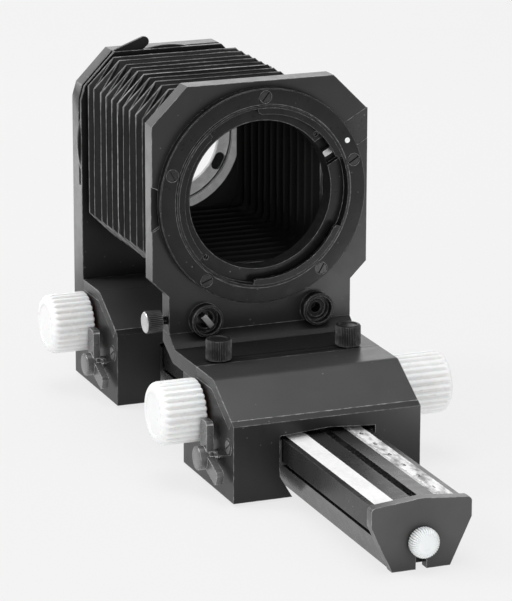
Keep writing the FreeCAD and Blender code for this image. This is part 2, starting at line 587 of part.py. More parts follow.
def build_lens_standard():
    knee_z = BLOCK_TOP_Z + 0.75 * FOOT_BEND
    plate = upright_plate(knee_z)
    foot = foot_plate(knee_z)
    front = PLATE_Y - MOUNT_THICK
    plate = plate.cut(prism(BAYONET_R, WIDE_SIDES, (0, PLATE_Y - 1, AXIS_Z), Y_AXIS, PLATE_THICK + 2))
    plate = plate.cut(prism(SCALLOP_R, SMALL_SIDES, (SCALLOP_X, PLATE_Y - 1, SCALLOP_Z), Y_AXIS,
                            1 + SCALLOP_DEPTH))

    # Slider slot, open at the plate's edge
    slot_half = RELEASE_WIDTH / 2 + SLIDING
    plate = plate.cut(radial_block(BAYONET_R - 1, 2 * PLATE_HALF, slot_half, PLATE_Y - 1,
                                   PLATE_Y + SLIDING + RELEASE_THICK + SLIDING, INDEX_ANGLE))
    # Accessory sockets
    for side, name in ((-1, "accessory_socket_left"), (1, "accessory_socket_right")):
        start = (side * SOCKET_X, PLATE_Y - SOCKET_PROUD, SOCKET_Z)
        collar = prism(SOCKET_R, SMALL_SIDES, start, Y_AXIS, SOCKET_PROUD + PLATE_THICK)
        plate = plate.cut(collar)
        foot = foot.cut(collar)
        dish = prism(SOCKET_DISH_R, SMALL_SIDES, start, Y_AXIS, SOCKET_DISH_DEPTH)
        nodes[name] = collar.cut(dish).cut(rod(SOCKET_BORE_R, start, Y_AXIS, SOCKET_PROUD + PLATE_THICK))
    # Silver thumb screw in the left edge, its stem reaching the left socket's bore
    stem_y = PLATE_Y + PLATE_THICK / 2
    head_x = -(BLOCK_HALF + SIDE_SCREW_GAP)
    tip_x = -(SOCKET_X + SOCKET_BORE_R + FREE_GAP)
    stem_hole = rod(SIDE_STEM_R + RUNNING, (-BLOCK_HALF - 1, stem_y, SOCKET_Z), X_AXIS,
                    BLOCK_HALF + 1 - SOCKET_X)
    plate = plate.cut(stem_hole)
    foot = foot.cut(stem_hole)
    nodes["accessory_socket_left"] = nodes["accessory_socket_left"].cut(stem_hole)
    screw = headed_stem(SIDE_SCREW_R, SIDE_SCREW_LENGTH, SIDE_STEM_R, tip_x - head_x)
    nodes["side_thumb_screw"] = placed(screw, (head_x, stem_y, SOCKET_Z), Vector(-1, 0, 0))
    # Turning catch in the left socket: a bar across its mouth, on a disc at its bottom
    length, width = CATCH_BAR
    disc_y = PLATE_Y + PLATE_THICK / 2 + SIDE_STEM_R
    bar = block(-length / 2, length / 2, PLATE_Y - SOCKET_PROUD + 0.2, disc_y, -width / 2, width / 2)
    disc = rod(SOCKET_BORE_R - RUNNING, (0, disc_y, 0), Y_AXIS, CATCH_DISC_THICK)
    catch = bar.fuse(disc)
    catch.rotate(Vector(0, 0, 0), Y_AXIS, 52)
    catch.translate(Vector(-SOCKET_X, 0, SOCKET_Z))
    nodes["socket_catch"] = catch

    # Clamp knobs through the foot
    foot_y = PLATE_Y - FOOT_KNOB_SETBACK
    for side, name in ((-1, "standard_clamp_knob_left"), (1, "standard_clamp_knob_right")):
        base = (side * FOOT_KNOB_X, foot_y, BLOCK_TOP_Z + FREE_GAP)
        hole_start = (side * FOOT_KNOB_X, foot_y, SHELF_Z - 9)
        hole = rod(FOOT_STEM_R + RUNNING, hole_start, Z_AXIS, 20)
        foot = foot.cut(hole)
        nodes["front_carriage_block"] = nodes["front_carriage_block"].cut(hole)
        stem_length = BLOCK_TOP_Z - SHELF_Z + FREE_GAP + 8
        nodes[name] = placed(headed_stem(FOOT_KNOB_R, FOOT_KNOB_HEIGHT, FOOT_STEM_R, stem_length), base, Z_AXIS)

    # Mount ring and its screws
    ring = prism(MOUNT_R, WIDE_SIDES, (0, front, AXIS_Z), Y_AXIS, MOUNT_THICK)
    ring = ring.cut(prism(BAYONET_R, WIDE_SIDES, (0, front, AXIS_Z), Y_AXIS, MOUNT_THICK))
    bead_x, bead_z = on_circle(INDEX_CIRCLE_R, INDEX_ANGLE)
    bead = prism(INDEX_R, THIN_SIDES, (bead_x, front - INDEX_PROUD, bead_z), Y_AXIS, INDEX_PROUD + INDEX_DEPTH)
    ring = ring.cut(bead)
    nodes["index_bead"] = bead
    nodes["lens_mount_ring"] = ring
    nodes["lens_standard"] = plate
    nodes["lens_standard_foot"] = foot
    build_bayonet(front - BAYONET_RISE)
    build_release()


def build_bayonet(face_y):
    """Bayonet: three lugs over a counterbore, whose floor is the flat face round the throat."""
    centre = (0, face_y, AXIS_Z)
    bayonet = prism(BAYONET_R, WIDE_SIDES, centre, Y_AXIS, PLATE_BACK_Y - face_y)
    bayonet = bayonet.cut(prism(BAYONET_CAVITY_R, WIDE_SIDES, centre, Y_AXIS, BAYONET_CAVITY_DEPTH))
    bayonet = bayonet.cut(rod(THROAT_R, centre, Y_AXIS, PLATE_BACK_Y - face_y))
    for start, end in LUG_SECTORS:
        lug = sector(BAYONET_LUG_R, BAYONET_CAVITY_R + 0.3, face_y, face_y + BAYONET_LUG_THICK, start, end)
        bayonet = bayonet.fuse(lug)
    window = radial_block(THROAT_R - 2, BAYONET_R + 1, RELEASE_WIDTH / 2 + FREE_GAP,
                          face_y + BAYONET_LUG_THICK, PLATE_Y + 2 * SLIDING + RELEASE_THICK, INDEX_ANGLE)
    nodes["lens_bayonet"] = bayonet.cut(window).removeSplitter()


def build_release():
    """Radial slider, flush with the plate and cut to its outline, with the latch pin at its nose."""
    y0 = PLATE_Y + SLIDING
    y1 = y0 + RELEASE_THICK
    nose = BAYONET_R + FREE_GAP
    slider = radial_block(nose, 2 * PLATE_HALF, RELEASE_WIDTH / 2, y0, y1, INDEX_ANGLE)
    slider = slider.common(block(0, PLATE_HALF, y0, y1, AXIS_Z - PLATE_HALF, PLATE_TOP_Z))
    pin_z = AXIS_Z - LATCH_OFFSET
    pin = block(THROAT_R + FREE_GAP, nose, y0 + 0.2, y0 + 0.2 + LATCH_THICK,
                pin_z - LATCH_WIDTH / 2, pin_z + LATCH_WIDTH / 2)
    pin = radial(pin, INDEX_ANGLE)
    nodes["release_slider"] = slider
    nodes["latch_pin"] = pin


# ---------------------------------------------------------------- bellows
def octagon_ring(half_out, half_in, y0, y1):
    chamfer_in = BELLOWS_CHAMFER * half_in / half_out
    outer = profile_along_y(octagon(half_out, BELLOWS_CHAMFER, AXIS_Z), y0, y1)
    return outer.cut(profile_along_y(octagon(half_in, chamfer_in, AXIS_Z), y0 - 1, y1 + 1))


def pleated_skin(offset):
    """Closed zigzag body whose ridges and valleys alternate between the two frames."""
    start, end = FRONT_FRAME_BACK_Y, REAR_FRAME_Y
    valley = BELLOWS_HALF - BELLOWS_PLEAT
    first_ridge = (start + end) / 2 - FOLD_PITCH * (FOLDS - 1) / 2
    stations = [(start, valley)]
    for k in range(FOLDS):
        ridge_y = first_ridge + k * FOLD_PITCH
        stations += [(ridge_y, BELLOWS_HALF), (ridge_y + FOLD_PITCH / 2, valley)]
    stations[-1] = (end, valley)
    rings = []
    for y, half in stations:
        chamfer = BELLOWS_CHAMFER * (half - offset) / BELLOWS_HALF
        rings.append([Vector(x, y, z) for x, z in octagon(half - offset, chamfer, AXIS_Z)])
    faces = []
    for a, b in zip(rings, rings[1:]):
        for k in range(8):
            n = (k + 1) % 8
            quad = Part.makePolygon([a[k], a[n], b[n], b[k], a[k]])
            faces.append(Part.Face(quad))
    for ring in (rings[0], rings[-1]):
        faces.append(Part.Face(Part.makePolygon(ring + [ring[0]])))
    return Part.Solid(Part.Shell(faces))


def build_bellows():
    valley = BELLOWS_HALF - BELLOWS_PLEAT
    bore_start = (0, REAR_FRAME_Y - 1, AXIS_Z)
    bore = prism(valley - REAR_FRAME_LIP, WIDE_SIDES, bore_start, Y_AXIS, REAR_FRAME_THICK + 2)
    frame_bore = valley - BELLOWS_SKIN
    nodes["bellows"] = pleated_skin(0).cut(pleated_skin(BELLOWS_SKIN))
    nodes["bellows_front_frame"] = octagon_ring(BELLOWS_HALF, frame_bore, PLATE_BACK_Y, FRONT_FRAME_BACK_Y)
    rear_half = BELLOWS_HALF - REAR_FRAME_INSET
    rear = profile_along_y(octagon(rear_half, BELLOWS_CHAMFER, AXIS_Z), REAR_FRAME_Y, REAR_PLATE_Y)
    nodes["bellows_rear_frame"] = rear.cut(bore)


# ---------------------------------------------------------------- camera standard
def build_camera_standard():
    corner = [(BLOCK_HALF - inward, REAR_PLATE_TOP_Z - down) for inward, down in REAR_PLATE_CUTS]
    outline = mirrored([(BLOCK_HALF, REAR_PLATE_FOOT_Z)] + corner)
    plate = profile_along_y(outline, REAR_PLATE_Y, REAR_PLATE_BACK_Y)
    plate = plate.cut(pinion_pocket(REAR_BLOCK_Y + PINION_SETBACK))
    bore = rod(CAMERA_TUBE_R + RUNNING, (0, REAR_PLATE_Y - 1, AXIS_Z), Y_AXIS, REAR_PLATE_THICK + 2)
    ring_r = CAMERA_TUBE_R + LEVER_RING_WIDTH
    slot_y = REAR_PLATE_Y + RING_SLOT_FACE
    slot_end = slot_y + RING_SLOT_WIDTH
    plate = plate.cut(block(-BLOCK_HALF - 1, BLOCK_HALF + 1, slot_y, slot_end, AXIS_Z - RING_SLOT_DROP,
                            REAR_PLATE_TOP_Z + 1))
    plate = plate.cut(prism(ring_r + FREE_GAP, WIDE_SIDES, (0, slot_y, AXIS_Z), Y_AXIS, RING_SLOT_WIDTH))
    nodes["camera_standard"] = plate.cut(bore)
    build_camera_ring(REAR_PLATE_Y + FREE_GAP)

    # Posts that hold the slot's front layer off the plate, clear of the ring
    posts = []
    for degrees in (45, 135):
        x, z = on_circle(ring_r + SPACER_GAP + SPACER_R, degrees)
        posts.append(prism(SPACER_R, THIN_SIDES, (x, slot_y, z), Y_AXIS, RING_SLOT_WIDTH))
    nodes["frame_spacers"] = group(posts)

    # Clamp ring with its thumb tab, turning in the slot
    ring_y, ring_end = slot_y + SLIDING, slot_end - SLIDING
    ring = prism(ring_r, WIDE_SIDES, (0, ring_y, AXIS_Z), Y_AXIS, ring_end - ring_y)
    tab = [(x, REAR_PLATE_TOP_Z + rise) for x, rise in LEVER_TAB]
    ring = ring.fuse(profile_along_y(tab, ring_y, ring_end)).removeSplitter()
    nodes["camera_clamp_ring"] = ring.cut(bore)


def build_camera_ring(front_y):
    """Turning camera mount: tube with a baffle at its front, then flange and bayonet nose behind."""
    flange_y = REAR_PLATE_BACK_Y + FREE_GAP
    nose_y = flange_y + CAMERA_FLANGE_THICK
    nose_end = nose_y + CAMERA_NOSE_LENGTH
    ring = rod(CAMERA_TUBE_R, (0, front_y, AXIS_Z), Y_AXIS, flange_y - front_y)
    baffle_y = front_y + CAMERA_BAFFLE_THICK
    bore_r = CAMERA_TUBE_R - CAMERA_TUBE_WALL
    ring = ring.cut(prism(bore_r, WIDE_SIDES, (0, baffle_y, AXIS_Z), Y_AXIS, flange_y - front_y))
    opening = rod(CAMERA_BAFFLE_R, (0, front_y - 1, AXIS_Z), Y_AXIS, CAMERA_BAFFLE_THICK + 2)
    nodes["camera_ring"] = ring.cut(opening)

    nose_r = bore_r + CAMERA_NOSE_WALL
    flange_r = CAMERA_TUBE_R + CAMERA_FLANGE_RIM
    flange = prism(flange_r, WIDE_SIDES, (0, flange_y, AXIS_Z), Y_AXIS, CAMERA_FLANGE_THICK)
    flange = flange.fuse(prism(nose_r, WIDE_SIDES, (0, nose_y, AXIS_Z), Y_AXIS, CAMERA_NOSE_LENGTH))
    for middle in (60.0, 180.0, 300.0):
        lug = sector(nose_r - 0.5, nose_r + CAMERA_LUG_RISE, nose_end - CAMERA_LUG_THICK, nose_end,
                     middle - CAMERA_LUG_SPAN / 2, middle + CAMERA_LUG_SPAN / 2)
        flange = flange.fuse(lug)
    flange = flange.cut(prism(bore_r, WIDE_SIDES, (0, flange_y - 1, AXIS_Z), Y_AXIS, nose_end - flange_y + 2))
    nodes["camera_flange"] = flange.removeSplitter()


# ---------------------------------------------------------------- build and write
build_rail()
for side, name in ((-1, "front"), (1, "rear")):
    nodes["end_cap_" + name] = end_cap(side)
    nodes["end_knob_" + name] = end_knob(side)
foot_front = PLATE_Y - FOOT_LENGTH
carriage("front_carriage", FRONT_BLOCK_Y, foot_front, foot_front, SHELF_Z)
carriage("rear_carriage", REAR_BLOCK_Y, REAR_PLATE_Y, REAR_PLATE_Y, REAR_PLATE_FOOT_Z)
build_lens_standard()
build_bellows()
build_camera_standard()

os.makedirs("parts", exist_ok=True)
for name, shape in nodes.items():
    shape.exportStep("parts/" + name + ".step")
print(len(nodes), "nodes")
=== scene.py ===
import math

import bmesh
import bpy
from mathutils import Matrix, Vector, noise


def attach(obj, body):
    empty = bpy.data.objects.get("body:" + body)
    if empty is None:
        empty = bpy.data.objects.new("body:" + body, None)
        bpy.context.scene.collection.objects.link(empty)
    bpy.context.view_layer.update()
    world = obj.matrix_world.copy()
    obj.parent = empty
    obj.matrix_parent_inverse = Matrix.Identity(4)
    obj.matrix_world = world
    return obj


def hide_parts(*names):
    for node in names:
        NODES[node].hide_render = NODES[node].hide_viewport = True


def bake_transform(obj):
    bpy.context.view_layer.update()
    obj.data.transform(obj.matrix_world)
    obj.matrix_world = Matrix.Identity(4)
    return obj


# Macro bellows unit, dressed. Places and sizes are in millimetres in the part's own frame
# (+Z up, +Y from the lens to the camera, +X right seen from the lens side), turned into metres here.

MM = 0.001
UP, TO_LEFT, TO_LENS, TO_CAMERA = (0, 0, 1), (-1, 0, 0), (0, -1, 0), (0, 1, 0)
SHARP = 32.0                                   # degrees; edges of the drawn pieces that are steeper stay sharp

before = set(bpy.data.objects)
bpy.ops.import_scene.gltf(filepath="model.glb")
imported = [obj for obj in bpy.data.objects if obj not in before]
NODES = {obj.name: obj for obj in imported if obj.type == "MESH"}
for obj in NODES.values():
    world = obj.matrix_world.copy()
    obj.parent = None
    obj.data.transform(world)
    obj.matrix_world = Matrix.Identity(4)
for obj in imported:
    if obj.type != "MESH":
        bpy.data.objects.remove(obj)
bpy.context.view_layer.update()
SCENE = bpy.context.scene
noise.seed_set(3)                              # without a seed every run draws other noise

# Places that the part's source gives
AXIS_Z = 75.6                                  # optical axis
BLOCK_FACE_Y = {"front": -49.7, "rear": 49.0}  # each block's face towards the lens
SHAFT_Y, SHAFT_Z = {"front": -22.1, "rear": 76.6}, 20.2
CLAMP_Y, CLAMP_X, CLAMP_Z = {"front": -35.4, "rear": 63.3}, -30.4, 10.0
DRIVE_KNOB_X = 29.5
END_KNOB_Y, END_KNOB_Z = 115.3, 7.3
FOOT_KNOB_X, FOOT_KNOB_Y, FOOT_KNOB_Z = 20.4, -15.9, 32.7
SIDE_SCREW = (-30.65, 5.4, 39.4)
SOCKET_X, SOCKET_Z = 17.7, 39.4
FLOOR_Z = -0.8


def given(thing, **settings):
    """Gives an object, node or modifier its settings."""
    for key, value in settings.items():
        setattr(thing, key, value)
    return thing


def added(name, data):
    """Puts a new object in the scene."""
    obj = bpy.data.objects.new(name, data)
    SCENE.collection.objects.link(obj)
    return obj


# ---------------------------------------------------------------- camera, light and floor
CAMERA_PLACE, CAMERA_TARGET = (-365.63, -914.85, 324.30), (-1.41, 2.6, 43.4)
CAMERA_LENS, CAMERA_ROLL = 243.4, 0.13         # millimetres on a 36 mm frame, and degrees
WORLD_STRENGTH, FLOOR_GLOW, FLOOR_REACH = 0.50, 0.755, 6.0

# name: place, target and size in metres, power, and whether it shows in glossy reflections alone
LIGHTS = {
    "light_back": ((0.05, 1.7, 0.50), (0, 0, 0.05), (2.0, 0.8), 8.0, False),
    "light_back_left": ((-1.05, 0.62, 0.92), (0, 0, 0.05), (0.45, 0.45), 7.0, False),
    "light_left": ((-1.3, -0.9, 0.7), (0, 0, 0.05), (0.3, 0.3), 3.0, False),
    "light_top": ((-0.1, 0.2, 1.9), (0, 0, 0), (1.2, 1.2), 22.0, False),
    "light_front": ((-0.38, -1.8, 0.32), (0, 0, 0.075), (0.5, 0.4), 8.0, False),
    "card_right": ((0.135, -0.14, 0.004), (0.135, -0.14, 1.0), (0.17, 0.13), 0.32, True),
    "card_back_left": ((-0.14, 0.32, 0.004), (-0.14, 0.32, 1.0), (0.16, 0.26), 0.25, True),
}


def looking(place, target):
    """Matrix that sets a camera or light on a place and turns it to a target, both in metres."""
    aim = (Vector(target) - Vector(place)).to_track_quat("-Z", "Y").to_matrix().to_4x4()
    return Matrix.Translation(Vector(place)) @ aim


def make_camera():
    data = given(bpy.data.cameras.new("camera"), lens=CAMERA_LENS, sensor_width=36.0, sensor_fit="HORIZONTAL",
                 clip_start=0.05, clip_end=50.0)
    camera = added("camera", data)
    view = looking(Vector(CAMERA_PLACE) * MM, Vector(CAMERA_TARGET) * MM)
    camera.matrix_world = view @ Matrix.Rotation(math.radians(CAMERA_ROLL), 4, "Z")
    SCENE.camera = camera


def make_studio():
    world = given(bpy.data.worlds.new("studio"), use_nodes=True)
    SCENE.world = world
    background = world.node_tree.nodes["Background"]
    background.inputs["Color"].default_value = (1, 1, 1, 1)
    background.inputs["Strength"].default_value = WORLD_STRENGTH
    for name, (place, target, (width, height), power, sheen_only) in LIGHTS.items():
        data = given(bpy.data.lights.new(name, "AREA"), shape="RECTANGLE", size=width, size_y=height, energy=power)
        given(added(name, data), matrix_world=looking(place, target), visible_camera=False,
              visible_diffuse=not sheen_only)
    given(SCENE.view_settings, view_transform="Standard", look="None")

    mesh = bpy.data.meshes.new("floor")
    shape = bmesh.new()
    bmesh.ops.create_grid(shape, x_segments=8, y_segments=8, size=FLOOR_REACH)
    shape.to_mesh(mesh)
    shape.free()
    floor = added("floor", mesh)
    floor.location.z = FLOOR_Z * MM
    floor.data.materials.append(MATERIALS["floor"])


# ---------------------------------------------------------------- materials
class Shader:
    """Wires one Principled material out of procedural nodes."""

    def __init__(self, name):
        self.material = given(bpy.data.materials.new(name), use_nodes=True)
        self.tree = self.material.node_tree
        self.surface = self.tree.nodes["Principled BSDF"]
        self.coords = self.node("ShaderNodeTexCoord").outputs["Object"]

    def put(self, value, socket):
        """Sets a socket to a number, a grey or a colour, or links another socket to it."""
        if isinstance(value, bpy.types.NodeSocket):
            self.tree.links.new(value, socket)
        elif socket.type == "RGBA":
            socket.default_value = (*value, 1) if isinstance(value, tuple) else (value, value, value, 1)
        else:
            socket.default_value = value

    def node(self, kind, sockets=None, **settings):
        """Adds a node with its sockets, by name or number, and its settings."""
        made = given(self.tree.nodes.new(kind), **settings)
        for label, value in (sockets or {}).items():
            self.put(value, made.inputs[label])
        return made

    def noise(self, scale, detail=3.0, roughness=0.55, stretch=None):
        source = self.coords
        if stretch:
            source = self.node("ShaderNodeMapping", {"Scale": stretch, "Vector": source}).outputs["Vector"]
        sockets = {"Scale": scale, "Detail": detail, "Roughness": roughness, "Vector": source}
        return self.node("ShaderNodeTexNoise", sockets).outputs["Fac"]

    def spread(self, value, low, high, out_low=0.0, out_high=1.0):
        """Maps low..high to out_low..out_high, clamped."""
        sockets = {"From Min": low, "From Max": high, "To Min": out_low, "To Max": out_high, "Value": value}
        return self.node("ShaderNodeMapRange", sockets).outputs["Result"]

    def specks(self, scale, size=0.10):
        """Small round dots scattered over the surface, from 0 to 1."""
        cells = self.node("ShaderNodeTexVoronoi", {"Scale": scale, "Vector": self.coords})
        return self.spread(cells.outputs["Distance"], size, 0.6 * size)

    def math(self, operation, a, b):
        return self.node("ShaderNodeMath", {0: a, 1: b}, operation=operation).outputs["Value"]

    def times(self, a, b):
        return self.math("MULTIPLY", a, b)

    def mix(self, factor, a, b):
        """Colour between a and b; each is a grey number, a colour socket or a colour."""
        return self.node("ShaderNodeMix", {0: factor, 6: a, 7: b}, data_type="RGBA").outputs[2]

    def edges(self, width):
        """1 at sharp edges, 0 on flat faces: marks the edges that are lightened partly as abrasion and partly as
        painted highlight.
        """
        rounded = self.node("ShaderNodeBevel", {"Radius": width}, samples=6).outputs["Normal"]
        flat = self.node("ShaderNodeNewGeometry").outputs["True Normal"]
        dot = self.node("ShaderNodeVectorMath", {0: rounded, 1: flat}, operation="DOT_PRODUCT")
        return self.spread(dot.outputs["Value"], 0.985, 0.88)

    def openness(self, reach):
        """1 in the open, less in corners and close beside other parts."""
        return self.node("ShaderNodeAmbientOcclusion", {"Distance": reach}, samples=6).outputs["AO"]

    def finish(self, colour, roughness, bump, strength, depth, **sockets):
        """Joins colour, roughness and bump to the surface, with its other sockets as constants."""
        bumped = self.node("ShaderNodeBump", {"Strength": strength, "Distance": depth, "Height": bump})
        sockets |= {"Base_Color": colour, "Roughness": roughness, "Normal": bumped.outputs["Normal"]}
        for label, value in sockets.items():
            self.put(value, self.surface.inputs[label.replace("_", " ")])
        return self.material


def lacquer(name, base, worn_and_highlit, rough, grain, wear_and_highlight=0.9, dust=0.25, level=0.30):
    """Satin black coat on light alloy: faint clouds, orange peel, edges lightened partly by abrasion and partly as
    painted highlight, painted shade in corners and close beside other parts, and a little dust.

    base is the grey of the coat and the second grey that of its lightened edges, rough its roughness, grain the
    scale of its orange peel and level its sheen.
    """
    s = Shader(name)
    clouds = s.spread(s.noise(38.0, 4.0), 0.3, 0.7)
    smudges = s.spread(s.noise(210.0, 5.0, 0.65), 0.42, 0.62)
    # painted shade: the coat's colour is darkened in corners and close beside other parts
    shaded = s.spread(s.openness(9.0 * MM), 0.30, 0.92, 0.25, 1.0)
    body = s.times(s.mix(clouds, 0.86 * base, 1.18 * base), shaded)
    # edges lightened partly as abrasion and partly as painted highlight
    rubbed_and_highlit = s.times(s.edges(0.34 * MM), s.spread(s.noise(420.0, 4.0), 0.40, 0.60, 0.20, 1.0))
    body = s.mix(s.times(rubbed_and_highlit, wear_and_highlight), body, worn_and_highlit)
    specks = s.times(s.specks(340.0), s.spread(s.noise(90.0), 0.48, 0.62, 0.0, dust))
    body = s.mix(specks, body, 0.42)
    gloss = s.spread(smudges, 0.0, 1.0, rough - 0.015, rough + 0.03)
    return s.finish(body, gloss, s.noise(grain, 2.0), 0.35, 0.03 * MM, Specular_IOR_Level=level)


def turned_black(name, base, rough, wear_and_highlight):
    """Black anodised turned part: fine rings about its own axis, bright edges that are partly abrasion and partly
    painted highlight, and painted shade close beside other parts.
    """
    s = Shader(name)
    rings = s.node("ShaderNodeTexWave", {"Scale": 1900.0, "Distortion": 0.6, "Detail": 2.0, "Vector": s.coords},
                   wave_type="RINGS", rings_direction="Z")
    # painted shade: darker colour close beside other parts
    shaded = s.spread(s.openness(4.0 * MM), 0.30, 0.92, 0.35, 1.0)
    clouds = s.times(s.spread(s.noise(160.0, 4.0), 0.35, 0.65, 0.85 * base, 1.25 * base), shaded)
    # edges lightened partly as abrasion and partly as painted highlight
    edge = s.times(s.edges(0.24 * MM), s.spread(s.noise(650.0), 0.40, 0.60, 0.45 * wear_and_highlight, wear_and_highlight))
    colour = s.mix(edge, clouds, 0.48)
    specks = s.times(s.specks(420.0), s.spread(s.noise(120.0), 0.50, 0.62, 0.0, 0.35))
    colour = s.mix(specks, colour, 0.45)
    gloss = s.spread(s.noise(300.0, 4.0), 0.35, 0.65, rough - 0.03, rough + 0.06)
    return s.finish(colour, gloss, rings.outputs["Fac"], 0.14, 0.01 * MM, Specular_IOR_Level=0.14)


def white_plastic():
    """Glossy moulded knob, its flutes and the faces close beside other parts darkened as painted shade, patchy by
    noise.
    """
    s = Shader("white_plastic")
    # painted shade: darker in the flutes and close beside other parts
    hollow_shade = s.spread(s.openness(1.2 * MM), 0.35, 0.95, 0.55, 0.0)
    painted_flute_shade = s.times(hollow_shade, s.spread(s.noise(500.0), 0.3, 0.7, 0.55, 1.0))
    tone = s.mix(s.spread(s.noise(90.0), 0.35, 0.65), 0.86, 0.91)
    colour = s.mix(painted_flute_shade, tone, (0.36, 0.36, 0.35))
    gloss = s.spread(s.noise(260.0, 4.0), 0.35, 0.65, 0.24, 0.36)
    return s.finish(colour, gloss, s.noise(2600.0, 2.0), 0.12, 0.02 * MM, Subsurface_Weight=0.08)


def bare_metal(name, base, rough, stretch):
    """Turned or brushed steel, its fine lines drawn out along one way."""
    s = Shader(name)
    lines = s.noise(1800.0, 3.0, 0.6, stretch)
    stain = s.spread(s.noise(190.0, 4.0), 0.4, 0.65)
    colour = s.mix(stain, 1.05 * base, 0.78 * base)
    gloss = s.spread(lines, 0.3, 0.7, rough - 0.05, rough + 0.12)
    return s.finish(colour, gloss, lines, 0.25, 0.01 * MM, Metallic=1.0)


def bellows_cloth():
    """Coated black cloth: fine leather grain, greyed on the ridges partly by abrasion and partly as painted
    highlight, darker towards the valleys as painted shade, dull black within.

    The mesh says where: "crest" is 1 on the ridges and 0 in the valleys, "within" is 1 on the inside.
    """
    s = Shader("bellows_cloth")
    crest = s.node("ShaderNodeAttribute", attribute_name="crest").outputs["Fac"]
    within = s.node("ShaderNodeAttribute", attribute_name="within").outputs["Fac"]
    # ridges greyed partly as abrasion and partly as painted highlight
    ridge_rub_and_highlight = s.times(s.spread(crest, 0.945, 0.99), s.spread(s.noise(520.0, 4.0), 0.34, 0.60, 0.45, 1.0))
    body = s.mix(s.spread(s.noise(70.0, 4.0), 0.35, 0.65), 0.008, 0.014)
    cells = s.node("ShaderNodeTexVoronoi", {"Scale": 2300.0, "Vector": s.coords}, feature="SMOOTH_F1")
    grain = cells.outputs["Distance"]
    body = s.mix(s.spread(grain, 0.1, 0.7, 0.0, 0.2), body, 0.035)
    # painted shade: the cloth is darker towards the bottom of each fold
    body = s.times(body, s.spread(crest, 0.05, 0.75, 0.30, 1.0))
    outer = s.mix(s.times(ridge_rub_and_highlight, 0.9), body, 0.38)
    inner = s.spread(crest, 0.0, 0.05, 0.017, 0.007)
    gloss = s.math("MAXIMUM", s.spread(s.noise(330.0), 0.35, 0.65, 0.46, 0.60), within)
    return s.finish(s.mix(within, outer, inner), gloss, grain, 0.5, 0.06 * MM, Specular_IOR_Level=0.20)


def scale_stock(name, handled):
    """White engraved strip, more or less handled."""
    s = Shader(name)
    clean = s.mix(s.spread(s.noise(900.0), 0.35, 0.65), 0.76, 0.82)
    smear = s.spread(s.noise(150.0, 5.0, 0.7, (2.2, 1.0, 1.0)), 0.44, 0.64, 0.0, handled)
    gloss = s.spread(s.noise(300.0), 0.3, 0.7, 0.42, 0.58)
    return s.finish(s.mix(smear, clean, 0.16), gloss, s.noise(3200.0, 2.0), 0.15, 0.01 * MM)


def plain(name, low, high, scale, rough, grain, depth=0.02 * MM, level=0.5):
    """Even stock with faint mottling between two greys, such as print, polymer or satin metal."""
    s = Shader(name)
    colour = s.mix(s.spread(s.noise(scale, 4.0), 0.35, 0.65), low, high)
    gloss = s.spread(s.noise(2.5 * scale), 0.35, 0.65, rough - 0.05, rough + 0.05)
    return s.finish(colour, gloss, s.noise(grain, 2.0), 0.2, depth, Specular_IOR_Level=level)


def glowing_floor():
    """Pale table lit from below, so that the part throws only a faint shadow."""
    s = Shader("pale_table")
    return s.finish(s.mix(s.noise(3.0), 0.10, 0.12), 0.9, s.noise(60.0, 2.0), 0.2, 0.2 * MM,
                    Emission_Color=1.0, Emission_Strength=FLOOR_GLOW, Specular_IOR_Level=0.0)


MATERIALS = {
    "lacquer": lacquer("black_lacquer", 0.017, 0.46, 0.32, 2400.0),
    "cover": lacquer("cover_lacquer", 0.038, 0.62, 0.34, 2600.0, wear_and_highlight=1.0, dust=0.35),
    "anodised": lacquer("black_anodised", 0.026, 0.36, 0.28, 3200.0, wear_and_highlight=0.25),
    "lever": lacquer("lever_lacquer", 0.11, 0.70, 0.26, 3000.0, wear_and_highlight=1.0, dust=0.3, level=0.9),
    "cap": lacquer("cap_lacquer", 0.075, 0.50, 0.30, 2800.0, dust=0.35),
    "turned": turned_black("turned_black", 0.010, 0.30, wear_and_highlight=1.0),
    "knurled": turned_black("knurled_black", 0.010, 0.34, wear_and_highlight=0.3),
    "matte": plain("matte_black", 0.008, 0.014, 300.0, 0.75, 2400.0, level=0.08),
    "white": white_plastic(),
    "steel": bare_metal("bright_steel", 0.58, 0.30, (1.0, 1.0, 0.08)),
    "satin_grey": plain("satin_grey", 0.70, 0.86, 420.0, 0.45, 2600.0, depth=0.01 * MM),
    "dull_steel": bare_metal("dull_steel", 0.30, 0.36, (1.0, 1.0, 0.2)),
    "dark_steel": bare_metal("dark_steel", 0.10, 0.32, (1.0, 1.0, 0.2)),
    "chrome": bare_metal("chromed_steel", 0.66, 0.22, (1.0, 1.0, 0.1)),
    "screw": bare_metal("blackened_screw", 0.036, 0.34, (1.0, 0.12, 1.0)),
    "cloth": bellows_cloth(),
    "strip": scale_stock("plain_scale_stock", handled=0.10),
    "handled": scale_stock("handled_scale_stock", handled=0.95),
    "print": plain("print_black", 0.010, 0.02, 500.0, 0.5, 3000.0, level=0.2),
    "polymer": plain("guide_polymer", 0.03, 0.05, 200.0, 0.5, 2000.0),
    "floor": glowing_floor(),
}


# ---------------------------------------------------------------- mesh helpers
def shaded(mesh, angle=SHARP):
    """Smooth shading but for edges sharper than the angle."""
    mesh.shade_smooth()
    mesh.set_sharp_from_angle(angle=math.radians(angle))
    return mesh


def closed(name, corners, faces, angle=SHARP):
    """Closed mesh from millimetre corners."""
    mesh = bpy.data.meshes.new(name)
    shape = bmesh.new()
    made = [shape.verts.new(Vector(c) * MM) for c in corners]
    for face in faces:
        shape.faces.new([made[k] for k in face])
    bmesh.ops.remove_doubles(shape, verts=shape.verts, dist=1e-7)
    bmesh.ops.recalc_face_normals(shape, faces=shape.faces)
    shape.to_mesh(mesh)
    shape.free()
    return shaded(mesh, angle)


